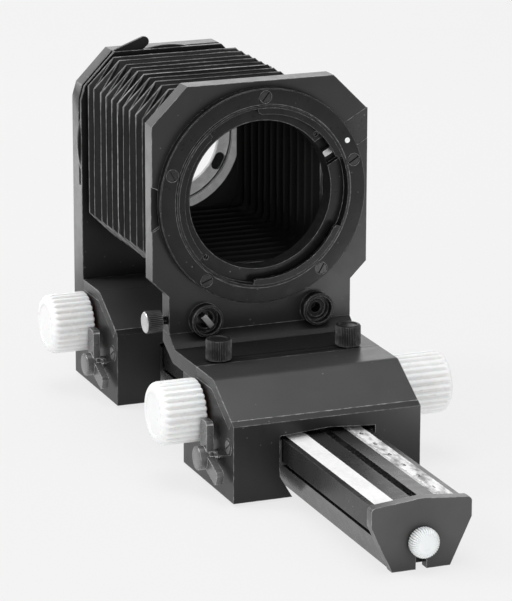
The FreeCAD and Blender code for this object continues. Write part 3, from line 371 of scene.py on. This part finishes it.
def lathe(name, outline, segments, flute=None, angle=SHARP):
    """Surface of revolution about +Z from an outline of radius and height; flute may vary the radius."""
    corners, faces = [], []
    for r, h in outline:
        for k in range(segments):
            turn = 2 * math.pi * k / segments
            at = flute(r, h, turn) if flute else r
            corners.append((at * math.cos(turn), at * math.sin(turn), h))
    count = len(outline)
    hollow = outline[0][0] > 0 and outline[-1][0] > 0
    for i in range(count if hollow else count - 1):
        a, b = i * segments, ((i + 1) % count) * segments
        for k in range(segments):
            n = (k + 1) % segments
            if outline[i][0] == 0:
                faces.append((a, b + k, b + n))
            elif outline[(i + 1) % count][0] == 0:
                faces.append((a + k, b, a + n))
            else:
                faces.append((a + k, b + k, b + n, a + n))
    return closed(name, corners, faces, angle)


def rod(name, radius, low, high, segments):
    """Plain round bar about +Z."""
    return lathe(name, [(0, low), (radius, low), (radius, high), (0, high)], segments)


def prism(name, outline, low, high):
    """Straight prism about +Z from a flat outline."""
    count = len(outline)
    corners = [(x, y, low) for x, y in outline] + [(x, y, high) for x, y in outline]
    faces = [tuple(range(count)), tuple(range(count, 2 * count))]
    faces += [(k, (k + 1) % count, count + (k + 1) % count, count + k) for k in range(count)]
    return closed(name, corners, faces)


def arc(radius, start, end, steps, centre=(0.0, 0.0)):
    """Points along an arc, its turns in degrees."""
    turns = [math.radians(start + (end - start) * k / steps) for k in range(steps + 1)]
    return [(centre[0] + radius * math.cos(t), centre[1] + radius * math.sin(t)) for t in turns]


def polar(radius, degrees):
    """Offset across +Z, at a radius and a turn."""
    turn = math.radians(degrees)
    return (radius * math.cos(turn), radius * math.sin(turn), 0)


def moved(mesh, offset, turn=0.0):
    """Turns a mesh about +Z, then shifts it."""
    mesh.transform(Matrix.Translation(Vector(offset) * MM) @ Matrix.Rotation(math.radians(turn), 4, "Z"))
    return mesh


def joined(name, meshes):
    """One mesh out of several, each left closed."""
    shape = bmesh.new()
    for mesh in meshes:
        shape.from_mesh(mesh)
        bpy.data.meshes.remove(mesh)
    mesh = bpy.data.meshes.new(name)
    shape.to_mesh(mesh)
    shape.free()
    return shaded(mesh)


def modified(obj, name, kind, **settings):
    """Adds a modifier to an object."""
    return given(obj.modifiers.new(name, kind), **settings)


def settled(obj):
    """New mesh of what an object's modifiers, or a text's curves, come to."""
    graph = bpy.context.evaluated_depsgraph_get()
    return bpy.data.meshes.new_from_object(obj.evaluated_get(graph))


def carve(mesh, cutters):
    """Cuts closed meshes, all built in the same place, out of a mesh."""
    base = added("base", mesh)
    tools = [added("tool", cutter) for cutter in cutters]
    for tool in tools:
        modified(base, "cut", "BOOLEAN", object=tool, operation="DIFFERENCE", solver="EXACT")
    bpy.context.view_layer.update()
    done = settled(base)
    for obj in tools + [base]:
        bpy.data.objects.remove(obj)
    done.name = mesh.name
    return shaded(done)


def piece(mesh, material, body, place=None, axis=UP, turn=0.0, replaced=()):
    """Puts a mesh in the scene, riding on a body: built about +Z, turned about that and aimed along an axis."""
    obj = added(mesh.name, mesh)
    mesh.materials.append(MATERIALS[material])
    if place:
        aim = Vector(axis).to_track_quat("Z", "Y").to_matrix().to_4x4()
        spin = Matrix.Rotation(math.radians(turn), 4, "Z")
        obj.matrix_world = Matrix.Translation(Vector(place) * MM) @ aim @ spin
    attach(obj, body)
    if replaced:
        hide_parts(*replaced)
    modified(obj, "shading", "WEIGHTED_NORMAL", keep_sharp=True)
    return obj


def soften(obj, width, angle=40.0):
    """Small rounded edges on a piece or a carried-over node, with even shading on its flats."""
    obj.modifiers.clear()
    modified(obj, "weld", "WELD", merge_threshold=2e-6)
    modified(obj, "edges", "BEVEL", width=width * MM, segments=2, limit_method="ANGLE",
             angle_limit=math.radians(angle), use_clamp_overlap=True)
    modified(obj, "shading", "WEIGHTED_NORMAL", keep_sharp=False)


# ---------------------------------------------------------------- knobs, screws and levers
def fluted_knob(name, length, radius=9.3, flutes=28, depth=0.75, rim=2.3, bore=3.2):
    """Hand knob with rounded flutes that run out in its rounded rim; hollow under its inner end."""
    def flute(r, h, turn):
        if r < 0.6 * radius:
            return r
        wave = 0.5 - 0.5 * math.cos(flutes * turn)
        groove = max(0.0, (wave - 0.30) / 0.70) ** 0.8
        fade = min(1.0, max(0.0, (length - 0.25 * rim - h) / (0.75 * rim)))
        return r - depth * groove * fade

    outline = [(0, 0.9), (bore, 0.9), (bore, 0.0), (radius - 0.9, 0.0), (radius - 0.35, 0.12), (radius, 0.5),
               (radius, 0.35 * length), (radius, 0.7 * length), (radius, length - 1.3 * rim)]
    outline += arc(rim, 0, 90, 6, (radius - rim, length - rim))
    outline += [(0.68 * radius, length - 0.02), (0.66 * radius, length - 0.22), (0.35 * radius, length - 0.3),
                (0, length - 0.3)]
    return lathe(name, outline, flutes * 14, flute, 38.0)


def ribbed_knob(name, radius, height, ribs, crown, dish, depth=0.26):
    """Small knob with fine straight ribs, a chamfered top and a slightly dished face."""
    def rib(r, h, turn):
        if r < radius - 0.02:
            return r
        return r - depth * abs(math.sin(0.5 * ribs * turn)) ** 0.6

    outline = [(0, 0), (radius - 0.45, 0), (radius - 0.1, 0.12), (radius, 0.35), (radius, 0.5 * height),
               (radius, height - crown), (radius - 0.4 * crown, height - 0.3 * crown), (radius - crown, height),
               (radius - crown - 0.5, height), (radius - crown - 0.8, height - dish), (0, height - dish)]
    return lathe(name, outline, ribs * 8, rib, 30.0)


def serrated_knob(name, radius=4.3, serrations=36, depth=0.42):
    """Small domed knob with sharp serrations, on a short neck."""
    def serration(r, h, turn):
        wave = abs(math.sin(0.5 * serrations * turn))
        return r - (depth * (1 - wave ** 0.7) if r > 2.4 else 0.0)

    outline = [(0, -4.0), (1.4, -4.0), (1.4, 0), (3.7, 0), (4.15, 0.15), (radius, 0.6), (radius, 2.1), (4.1, 2.75),
               (3.65, 3.2), (3.0, 3.5), (2.2, 3.64), (1.1, 3.7), (0, 3.7)]
    return lathe(name, outline, serrations * 8, serration, 40.0)


def slotted_head(name, radius, height, slot, deep):
    """Screw head, its slot along local X."""
    lean = math.degrees(math.asin(slot / 2 / radius))
    parts = [rod(name + "_base", radius, 0, height - deep, 40)]
    for side in (0, 180):
        parts.append(prism(name + "_half", arc(radius, side + lean, side + 180 - lean, 18), height - deep, height))
    return joined(name, parts)


def drive_knobs():
    for end, y in SHAFT_Y.items():
        for side, word, length in ((-1, "left", 13.5), (1, "right", 18.8)):
            piece(fluted_knob(f"{end}_knob_{word}_fluted", length), "white", f"{end}_drive",
                  (side * DRIVE_KNOB_X, y, SHAFT_Z), (side, 0, 0), 5.0, (f"{end}_carriage_knob_{word}",))


def end_knobs():
    for side, end in ((-1, "front"), (1, "rear")):
        body, place, axis = f"{end}_end_screw", (0, side * END_KNOB_Y, END_KNOB_Z), (0, side, 0)
        piece(serrated_knob(f"{end}_end_knob_serrated"), "white", body, place, axis, 3.0,
              (f"end_knob_{end}",))
        stem = lathe(f"{end}_end_stem", [(0, -15.3), (1.3, -15.3), (1.4, -15.1), (1.4, -3.8), (0, -3.8)], 40)
        piece(stem, "steel", body, place, axis)


def foot_knobs():
    for side, word in ((-1, "left"), (1, "right")):
        body, place = f"standard_clamp_{word}", (side * FOOT_KNOB_X, FOOT_KNOB_Y, FOOT_KNOB_Z)
        head = ribbed_knob(f"clamp_knob_{word}_ribbed", 3.8, 6.2, 44, 0.55, 0.25)
        piece(head, "knurled", body, place, UP, 4.0, (f"standard_clamp_knob_{word}",))
        stem = lathe(f"clamp_stem_{word}", [(0, -12.8), (1.2, -12.8), (1.5, -12.5), (1.5, 0.02), (0, 0.02)], 40)
        piece(stem, "steel", body, place)


def side_screw():
    """Ribbed head, its bright face and its stem."""
    head = ribbed_knob("side_screw_ribbed", 3.45, 4.8, 38, 0.5, 0.0)
    face = lathe("side_screw_face", [(0, 4.5), (3.1, 4.5), (3.1, 4.75), (2.9, 4.95), (0, 4.95)], 60)
    stem = lathe("side_screw_stem", [(0, -10.1), (0.9, -10.1), (1.2, -9.8), (1.2, 0.02), (0, 0.02)], 36)
    for mesh, material, replaced in ((head, "dark_steel", ("side_thumb_screw",)), (face, "steel", ()),
                                     (stem, "knurled", ())):
        piece(mesh, material, "side_screw", SIDE_SCREW, TO_LEFT, 0.0, replaced)


def clamp_levers():
    """Hub with a thin face disc, a broad upper arm with a slanted tip and a narrow lower arm."""
    hub_outline = [(0, 0), (3.2, 0), (3.5, 0.25), (3.5, 1.4), (3.15, 1.5), (3.15, 1.75), (3.5, 1.85), (3.5, 4.1),
                   (3.3, 4.4), (1.2, 4.4), (1.1, 4.25), (0, 4.25)]
    upper_outline = [(-2.6, 1.5), (2.6, 1.5), (2.6, 10.2), (1.9, 11.2), (-1.7, 11.2), (-2.6, 9.7)]
    lower_outline = [(-2.2, 1.5), (2.2, 1.5), (2.2, 10.3), (1.5, 11.0), (-1.5, 11.0), (-2.2, 10.3)]
    arm_thickness, lower_turn = 2.2, -110.0
    for end, y in CLAMP_Y.items():
        # built with local X towards the lens, local Y up and local Z outward to the left
        body, place = f"{end}_clamp", (CLAMP_X, y, CLAMP_Z)
        hub = lathe(f"{end}_hub", hub_outline, 72)
        upper = prism(f"{end}_upper", upper_outline, 0.0, arm_thickness)
        lower = moved(prism(f"{end}_lower", lower_outline, 0.0, arm_thickness), (0, 0, 0), lower_turn)
        lever = piece(joined(f"{end}_clamp_lever_shaped", [hub, upper, lower]), "lever", body,
                      place, TO_LEFT, 0.0, (f"{end}_carriage_clamp_lever",))
        soften(lever, 0.28)
        face = lathe(f"{end}_hub_face", [(0, 4.2), (2.9, 4.2), (2.9, 4.42), (2.75, 4.5), (0, 4.5)], 60)
        piece(face, "dull_steel", body, place, TO_LEFT)


def flank_screws():
    """Slotted guide screws in the left flank of each block, in counterbored rims."""
    z, head_x, rim_x = 15.9, -28.75, -28.9
    rim_outline = [(2.0, 0.0), (2.55, 0.0), (2.55, 0.12), (2.4, 0.2), (2.1, 0.2), (2.0, 0.1)]
    for end, face_y in BLOCK_FACE_Y.items():
        body = f"{end}_carriage"
        for word, y in (("a", face_y + 3.9), ("b", face_y + 36.5)):
            head = slotted_head(f"{body}_guide_screw_{word}", 1.9, 0.5, 0.5, 0.35)
            piece(head, "dull_steel", body, (head_x, y, z), TO_LEFT, 35.0)
            rim = lathe(f"{body}_guide_rim_{word}", rim_outline, 48)
            piece(rim, "turned", body, (rim_x, y, z), TO_LEFT)


# ---------------------------------------------------------------- lens standard
MOUNT_SCREW_CIRCLE = 29.9
MOUNT_SCREWS = ((89.0, 52.0), (163.0, 118.0), (-127.0, 20.0), (-52.0, 60.0), (17.0, 32.0))     # turn of screw, slot
BAYONET_LUGS = ((24.0, 93.0), (131.0, 219.0), (264.0, 334.0))                    # start and end
FACE_HOLES = ((24.5, 134.4, 0.72), (24.5, 225.3, 0.75), (24.3, 44.0, 0.7))       # circle, turn and radius
WINDOW_TURN = 29.2                             # the latch pin's window, with the index bead outside it
BAYONET_Y, LATCH_Y = -0.5, 1.98


def lens_mount():
    """Front ring with its screws, bead and bayonet; local Z points to the lens, X stays and Y is up."""
    def mounted(mesh, material, depth, replaced=(), slot="black_anodised", body="front_carriage"):
        return piece(mesh, material, body, (0, depth, AXIS_Z), TO_LENS, 0.0, replaced)

    outline = [(27.45, -2.6), (32.4, -2.6), (32.4, -0.3), (32.15, -0.05), (31.9, 0.0), (27.75, 0.0), (27.45, -0.18)]
    ring = lathe("mount_ring_body", outline, 180)
    holes = [moved(rod("hole", 1.85, -1.2, 1.0, 40), polar(MOUNT_SCREW_CIRCLE, turn)) for turn, _ in MOUNT_SCREWS]
    mounted(carve(ring, holes), "turned", 0.0, ("lens_mount_ring",))
    for k, (turn, slot_turn) in enumerate(MOUNT_SCREWS):
        head = slotted_head(f"mount_screw_{k + 1}", 1.68, 1.1, 0.42, 0.4)
        x, y, _ = polar(MOUNT_SCREW_CIRCLE, turn)
        mounted(moved(head, (x, y, -1.15), slot_turn), "screw", 0.0, slot="bright_steel")
    bead = lathe("index_bead_domed", [(0, -0.8), (0.88, -0.8), (0.9, -0.1), (0.78, 0.08), (0.5, 0.18), (0, 0.22)], 36)
    mounted(moved(bead, polar(30.3, WINDOW_TURN)), "white", 0.0, ("index_bead",), "white_plastic")

    # Bayonet: counterbored tube whose floor is the face round the throat, and three lugs over it
    outline = [(27.4, -8.7), (27.4, -0.1), (27.2, 0.0), (26.75, 0.0), (26.6, -0.15), (26.6, -3.2), (22.4, -3.2),
               (22.4, -8.7)]
    tube = lathe("bayonet_tube", outline, 240)
    window = prism("window", [(20.2, -4.3), (28.4, -4.3), (28.4, 4.3), (20.2, 4.3)], -5.06, -1.3)
    cutters = [moved(window, (0, 0, 0), WINDOW_TURN)]
    cutters += [moved(rod("hole", size, -4.6, -2.0, 28), polar(circle, turn)) for circle, turn, size in FACE_HOLES]
    soften(mounted(carve(tube, cutters), "turned", BAYONET_Y, ("lens_bayonet",)), 0.10)
    lugs = []
    for start, end in BAYONET_LUGS:
        steps = int((end - start) / 1.5)
        outline = arc(26.7, start - 1.5, end + 1.5, steps) + arc(25.2, end + 1.0, end, 3)
        outline += arc(24.8, end - 0.8, start + 0.8, steps) + arc(25.2, start, start - 1.0, 3)
        lugs.append(prism("lug", outline, -1.3, -0.02))
    soften(mounted(joined("bayonet_lugs", lugs), "turned", BAYONET_Y), 0.10)
    sleeve = lathe("throat_sleeve", [(22.45, -8.7), (22.45, -3.25), (22.3, -3.25), (22.2, -3.35), (22.2, -8.7)], 200)
    mounted(sleeve, "matte", BAYONET_Y)

    # Latch pin, its tip chamfered
    outline = [(22.5, -1.5), (22.9, -1.8), (27.7, -1.8), (27.7, 0.2), (22.9, 0.2), (22.5, -0.1)]
    pin = moved(prism("latch_pin_shaped", outline, -2.3, -0.9), (0, 0, 0), WINDOW_TURN)
    soften(mounted(pin, "dull_steel", LATCH_Y, ("latch_pin",), "bright_steel", "lens_release"), 0.12)


def sockets():
    """Two turned collars below the mount; the left one holds a turning catch, the right one an insert."""
    collar_y, catch_y, catch_turn = -0.4, 6.7, -52.0
    outline = [(2.5, -8.6), (4.9, -8.6), (4.9, -0.45), (4.75, -0.12), (4.45, 0.0), (4.2, 0.0), (4.0, -0.15),
               (3.9, -0.5), (3.9, -2.2), (3.6, -2.4), (2.75, -2.4), (2.5, -2.65)]
    for side, word in ((-1, "left"), (1, "right")):
        piece(lathe(f"socket_{word}_turned", outline, 96), "turned", "front_carriage",
              (side * SOCKET_X, collar_y, SOCKET_Z), TO_LENS, 0.0, (f"accessory_socket_{word}",))
    insert = lathe("socket_right_insert", [(0, -7.6), (2.45, -7.6), (2.45, -3.0), (2.3, -2.85), (1.65, -2.85),
                                           (1.5, -3.0), (1.5, -7.0), (0, -7.0)], 48)
    piece(insert, "knurled", "front_carriage", (SOCKET_X, collar_y, SOCKET_Z), TO_LENS)
    bar = prism("catch_bar", [(-2.2, -0.9), (2.2, -0.9), (2.2, 0.9), (-2.2, 0.9)], 0.35, 6.9)
    disc = lathe("catch_disc", [(0, 0), (2.35, 0), (2.4, 0.1), (2.4, 0.35), (0, 0.35)], 48)
    catch = piece(joined("socket_catch_shaped", [disc, bar]), "dull_steel", "catch",
                  (-SOCKET_X, catch_y, SOCKET_Z), TO_LENS, catch_turn, ("socket_catch",))
    soften(catch, 0.12)


# ---------------------------------------------------------------- bellows
RIDGE, VALLEY, CORNER = 28.7, 22.5, 20.2       # half widths of the folds and of their flat sides
RIDGES = (15.0, 20.2, 25.8, 31.5, 37.3, 42.7, 47.8, 53.2, 58.3, 63.4, 69.8, 74.9)
SEAM = 6                                       # the two sections meet on this ridge
FRONT_END, REAR_END = 10.2, 79.5
THICKNESS, CREASE = 0.38, 0.16                 # of the cloth, and the rounding of its folds
STRAY, FINE_STRAY, STEADY = 0.22, 0.08, 3.0    # how far the cloth strays, and how near a frame that fades
LONG_EDGE, CUTS = 8.0, 9                       # edges from this length on are divided


def side_point(side, half, along, y):
    """Point on one of the four sides: 0 right, 1 top, 2 left, 3 bottom."""
    x, z = ((half, along), (-along, half), (-half, -along), (along, -half))[side]
    return (x, y, AXIS_Z + z)


# The ends, at each cut corner, of its upright side and of its level side
CORNER_ENDS = (((0, CORNER), (1, -CORNER)), ((2, -CORNER), (1, CORNER)),
               ((2, CORNER), (3, -CORNER)), ((0, -CORNER), (3, CORNER)))


def fold_polygons(stations):
    """Cloth over stations of (y, half width), which are ridges and valleys in turn."""
    polygons = []
    for (y0, half0), (y1, half1) in zip(stations, stations[1:]):
        for side in range(4):
            polygons.append([side_point(side, half0, -CORNER, y0), side_point(side, half0, CORNER, y0),
                             side_point(side, half1, CORNER, y1), side_point(side, half1, -CORNER, y1)])
    for ends in CORNER_ENDS:
        def across(station):
            """Both ends of the corner at a station."""
            y, half = station
            return [side_point(side, half, along, y) for side, along in ends]

        for k, station in enumerate(stations):
            if station[1] != VALLEY:
                continue
            u, v = across(station)
            if k in (0, len(stations) - 1):
                # against a frame the corner is plain
                r0, r1 = across(stations[1 if k == 0 else -2])
                polygons += [(u, r0, r1), (u, r1, v)]
                continue
            (a0, a1), (b0, b1) = across(stations[k - 1]), across(stations[k + 1])
            # gusset creased from the near ridge of the upright side to the far ridge of the level side
            polygons += [(b0, u, b1), (u, a0, b1), (a0, v, b1), (a0, a1, v)]
    return polygons


def crest_of(co):
    """1 on the outermost line of a fold, 0 at its bottom."""
    x, z = abs(co.x) / MM, abs(co.z / MM - AXIS_Z)
    level = max(x, z, (x + z) * RIDGE / (RIDGE + CORNER))
    return (level - VALLEY) / (RIDGE - VALLEY)


def wander_of(co):
    """How far a point of the cloth strays from its true place; not at all against the frames."""
    free = min(1.0, max(0.0, min(co.y / MM - FRONT_END, REAR_END - co.y / MM) / STEADY))
    shift = (STRAY * noise.noise_vector(co * 90.0) + FINE_STRAY * noise.noise_vector(co * 330.0)) * MM * free
    return Vector((0.6 * shift.x, shift.y, 0.6 * shift.z))


def bellows_section(name, stations):
    """Cloth of one section: its folds divided, creased, strayed a little and given a thickness."""
    shape = bmesh.new()
    for polygon in fold_polygons(stations):
        shape.faces.new([shape.verts.new(Vector(c) * MM) for c in polygon])
    bmesh.ops.remove_doubles(shape, verts=shape.verts, dist=1e-6)
    bmesh.ops.recalc_face_normals(shape, faces=shape.faces)
    axis = Vector((0, 0, AXIS_Z * MM))
    outward = sum(f.calc_area() * f.normal.dot((f.calc_center_median() - axis) * Vector((1, 0, 1)))
                  for f in shape.faces)
    if outward < 0:
        bmesh.ops.reverse_faces(shape, faces=shape.faces)
    long_edges = [e for e in shape.edges if e.calc_length() > LONG_EDGE * MM]
    bmesh.ops.subdivide_edges(shape, edges=long_edges, cuts=CUTS, use_grid_fill=True)
    for v in shape.verts:
        v.co += wander_of(v.co)
    mesh = bpy.data.meshes.new(name)
    shape.to_mesh(mesh)
    shape.free()
    obj = added(name, mesh)
    modified(obj, "creases", "BEVEL", width=CREASE * MM, segments=2, limit_method="ANGLE",
             angle_limit=math.radians(25.0))
    modified(obj, "cloth", "SOLIDIFY", thickness=THICKNESS * MM, offset=-1.0)
    obj.data = shaded(settled(obj), 50.0)
    obj.modifiers.clear()
    inward = [v.normal.x * v.co.x + v.normal.z * (v.co.z - AXIS_Z * MM) < 0 for v in obj.data.vertices]
    for label, values in (("crest", [crest_of(v.co) for v in obj.data.vertices]),
                          ("within", [1.0 if inside else 0.0 for inside in inward])):
        obj.data.attributes.new(label, "FLOAT", "POINT").data.foreach_set("value", values)
    obj.data.materials.append(MATERIALS["cloth"])
    return obj


def bellows():
    """Two sections of cloth that meet on one ridge."""
    stations = [(FRONT_END, VALLEY)]
    for y, following in zip(RIDGES, RIDGES[1:] + (2 * REAR_END - RIDGES[-1],)):
        stations += [(y, RIDGE), ((y + following) / 2, VALLEY)]
    seam_at = 2 * SEAM + 1
    front = bellows_section("bellows_front_section", stations[:seam_at + 1])
    rear = bellows_section("bellows_rear_section", stations[seam_at:])
    for obj in (front, rear):
        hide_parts("bellows")
    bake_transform(front)
    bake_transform(rear)


# ---------------------------------------------------------------- camera side
FLANGE_SCREW_CIRCLE = 25.8
FLANGE_SCREW_TURNS = (45, 135, 225, 315)
HALF_TURN = 180.0                              # keeps local X to the right where local Z points to the camera


def camera_mount():
    """Turning ring seen through the bellows, with its groove and oval hole, the hole drawn as a shallow pocket with a
    black plug as painted shade; flange and nose behind.
    """
    def mounted(mesh, material, slot, replaced=()):
        return piece(mesh, material, "camera_mount", (0, 0, AXIS_Z), TO_CAMERA, HALF_TURN, replaced)

    def oval(half, low, high):
        outline = arc(half, -90, 90, 12, (1.25, 0)) + arc(half, 90, 270, 12, (-1.25, 0))
        return moved(prism("oval_plug", outline, low, high), (16.7, 8.9, 0), 118.0)

    outline = [(17.0, 81.35), (17.15, 81.2), (20.62, 81.2), (20.68, 81.26), (20.68, 82.0), (21.12, 82.0),
               (21.12, 81.26), (21.18, 81.2), (25.9, 81.2), (26.0, 81.3), (26.0, 89.7), (22.2, 89.7), (22.2, 82.8),
               (17.0, 82.8)]
    ring = carve(lathe("camera_ring_turned", outline, 160), [oval(1.68, 80.0, 82.3)])
    mounted(ring, "satin_grey", "black_anodised", ("camera_ring",))
    # painted shade: a black plug at the bottom of the oval pocket stands in for the dark of the hole
    mounted(oval(1.6, 81.9, 82.3), "print", "black_anodised")
    filler = lathe("camera_groove_black", [(20.69, 81.5), (21.11, 81.5), (21.11, 82.1), (20.69, 82.1)], 160)
    mounted(filler, "print", "black_anodised")

    outline = [(22.2, 89.7), (27.2, 89.7), (27.5, 90.0), (27.5, 91.6), (27.25, 91.9), (24.1, 91.9), (23.5, 92.1),
               (23.5, 93.1), (23.6, 93.2), (23.6, 94.3), (23.4, 94.5), (22.4, 94.5), (22.2, 94.3)]
    flange = lathe("camera_flange_turned", outline, 200)
    holes = [moved(rod("hole", 1.2, 91.2, 92.5, 32), polar(FLANGE_SCREW_CIRCLE, turn)) for turn in FLANGE_SCREW_TURNS]
    mounted(carve(flange, holes), "chrome", "chrome_steel", ("camera_flange",))
    lugs = []
    for start in (30.0, 150.0, 270.0):
        outline = arc(25.0, start, start + 60.0, 30) + arc(23.3, start + 60.0, start, 30)
        lugs.append(prism("lug", outline, 93.3, 94.45))
    soften(mounted(joined("camera_lugs", lugs), "chrome", "chrome_steel"), 0.12)
    for k, turn in enumerate(FLANGE_SCREW_TURNS):
        head = slotted_head(f"flange_screw_{k + 1}", 1.05, 0.6, 0.3, 0.3)
        x, y, _ = polar(FLANGE_SCREW_CIRCLE, turn)
        mounted(moved(head, (x, y, 91.22), 20.0 + 70 * k), "screw", "bright_steel")


def rear_frame():
    """Flat frame behind the bellows: a black plate with a light ring let in round its bore."""
    half, cut, thick, bore = 26.2, 8.5, 1.4, 23.5
    outline = [(half, half - cut), (half - cut, half), (cut - half, half), (-half, half - cut),
               (-half, cut - half), (cut - half, -half), (half - cut, -half), (half, cut - half)]
    plate = carve(prism("bellows_rear_plate", outline, 0.0, thick), [rod("bore", bore, -1, 3, 160)])
    inlay = lathe("bellows_rear_ring", [(21.0, 0.12), (21.12, 0.0), (bore, 0.0), (bore, thick), (21.0, thick)], 160)
    for mesh, material, replaced in ((plate, "lacquer", ("bellows_rear_frame",)), (inlay, "satin_grey", ())):
        piece(mesh, material, "rear_carriage", (0, REAR_END, AXIS_Z), TO_CAMERA, HALF_TURN,
              replaced)


def clamp_ring():
    """Split ring in the camera standard's slot, with its round-ended thumb tab."""
    front_y, thick = 83.42, 1.24
    ring = lathe("ring", [(26.15, 0.0), (29.5, 0.0), (29.7, 0.15), (29.7, 1.1), (29.5, thick), (26.15, thick)], 160)
    tab = [(-19.5, 21.5), (-17.75, 28.7), (-17.2, 29.25)] + arc(1.65, 112, -52, 14, (-7.5, 31.1)) + [(-9.0, 28.0)]
    clamp = piece(joined("camera_clamp_ring_tabbed", [ring, prism("tab", tab, 0.0, thick)]), "anodised",
                  "camera_clamp", (0, front_y, AXIS_Z), TO_LENS, 0.0, ("camera_clamp_ring",))
    soften(clamp, 0.18)


# ---------------------------------------------------------------- scale on the rail
STRIP_TOP, STRIP_SLOPE = 18.3, 13.4            # height over the middle, and the run for each millimetre of fall
TICK_X, TICK_HALF, TICK_HEIGHT = 6.2, 0.13, 0.015
FIGURE_X, FIGURE_START, FIGURE_STEP, FIGURES = 8.9, -103.0, 10, 21


def strip_height(x):
    """Top of the numbered strip at a distance from the middle."""
    return STRIP_TOP - abs(x) / STRIP_SLOPE


def tick(y, length):
    """Thin bar across the strip, lying on its slope."""
    x0, x1, y0, y1 = TICK_X, TICK_X + length, y - TICK_HALF, y + TICK_HALF
    corners = [(x, y, strip_height(x) + lift) for lift in (0.0, TICK_HEIGHT)
               for x, y in ((x0, y0), (x1, y0), (x1, y1), (x0, y1))]
    faces = [(0, 1, 2, 3), (4, 5, 6, 7), (0, 1, 5, 4), (1, 2, 6, 5), (2, 3, 7, 6), (3, 0, 4, 7)]
    return closed("tick", corners, faces)


def figure(number, y):
    """A number that reads from the lens side, lying on the strip's slope."""
    text = given(bpy.data.curves.new("figure", "FONT"), body=str(number), size=2.5 * MM, align_x="CENTER",
                 align_y="CENTER", extrude=0.01 * MM, offset=0.07 * MM, resolution_u=3)
    holder = added("figure", text)
    bpy.context.view_layer.update()
    mesh = settled(holder)
    bpy.data.objects.remove(holder)
    place = Matrix.Translation(Vector((FIGURE_X, y, strip_height(FIGURE_X) + 0.012)) * MM)
    mesh.transform(place @ Matrix.Rotation(math.atan(1.0 / STRIP_SLOPE), 4, "Y"))
    return mesh


def scale_print():
    """Millimetre ticks along the inner edge of the right strip, longer every five, and a figure every ten."""
    ticks = [tick(y, 1.8 if y % 10 == 7 else 1.3 if y % 5 == 2 else 0.9) for y in range(-109, 110)]
    piece(joined("scale_ticks", ticks), "print", "rail")
    figures = [figure(k + 1, FIGURE_START + FIGURE_STEP * k) for k in range(FIGURES)]
    piece(joined("scale_figures", figures), "print", "rail")


# ---------------------------------------------------------------- carried-over nodes
def both_ends(*names):
    """The names of nodes that each carriage has."""
    return tuple(f"{end}_carriage_{name}" for end in ("front", "rear") for name in names)


# material: width of the rounded edges, or none, and the nodes
NODE_LOOKS = {
    "anodised": (0.16, ("rail", "release_slider")),
    "cap": (0.24, ("end_cap_front", "end_cap_rear")),
    "lacquer": (0.22, ("lens_standard", "lens_standard_foot", "camera_standard", "bellows_front_frame",
                       *both_ends("block"))),
    "cover": (0.26, both_ends("cover")),
    "strip": (None, ("scale_strip_plain",)),
    "handled": (None, ("scale_strip_numbered",)),
    "steel": (0.06, ("rack", "tripod_bush", "frame_spacers", *both_ends("pinion_shaft", "clamp_screw"))),
    "polymer": (0.1, both_ends("guide_left", "guide_right")),
}


def dress_nodes():
    for look, (edge_width, names) in NODE_LOOKS.items():
        for name in names:
            node = NODES[name]
            node.data.materials.clear()
            node.data.materials.append(MATERIALS[look])
            if edge_width:
                soften(node, edge_width, 28.0)


make_camera()
make_studio()
dress_nodes()
drive_knobs()
end_knobs()
foot_knobs()
side_screw()
clamp_levers()
flank_screws()
lens_mount()
sockets()
bellows()
camera_mount()
rear_frame()
clamp_ring()
scale_print()
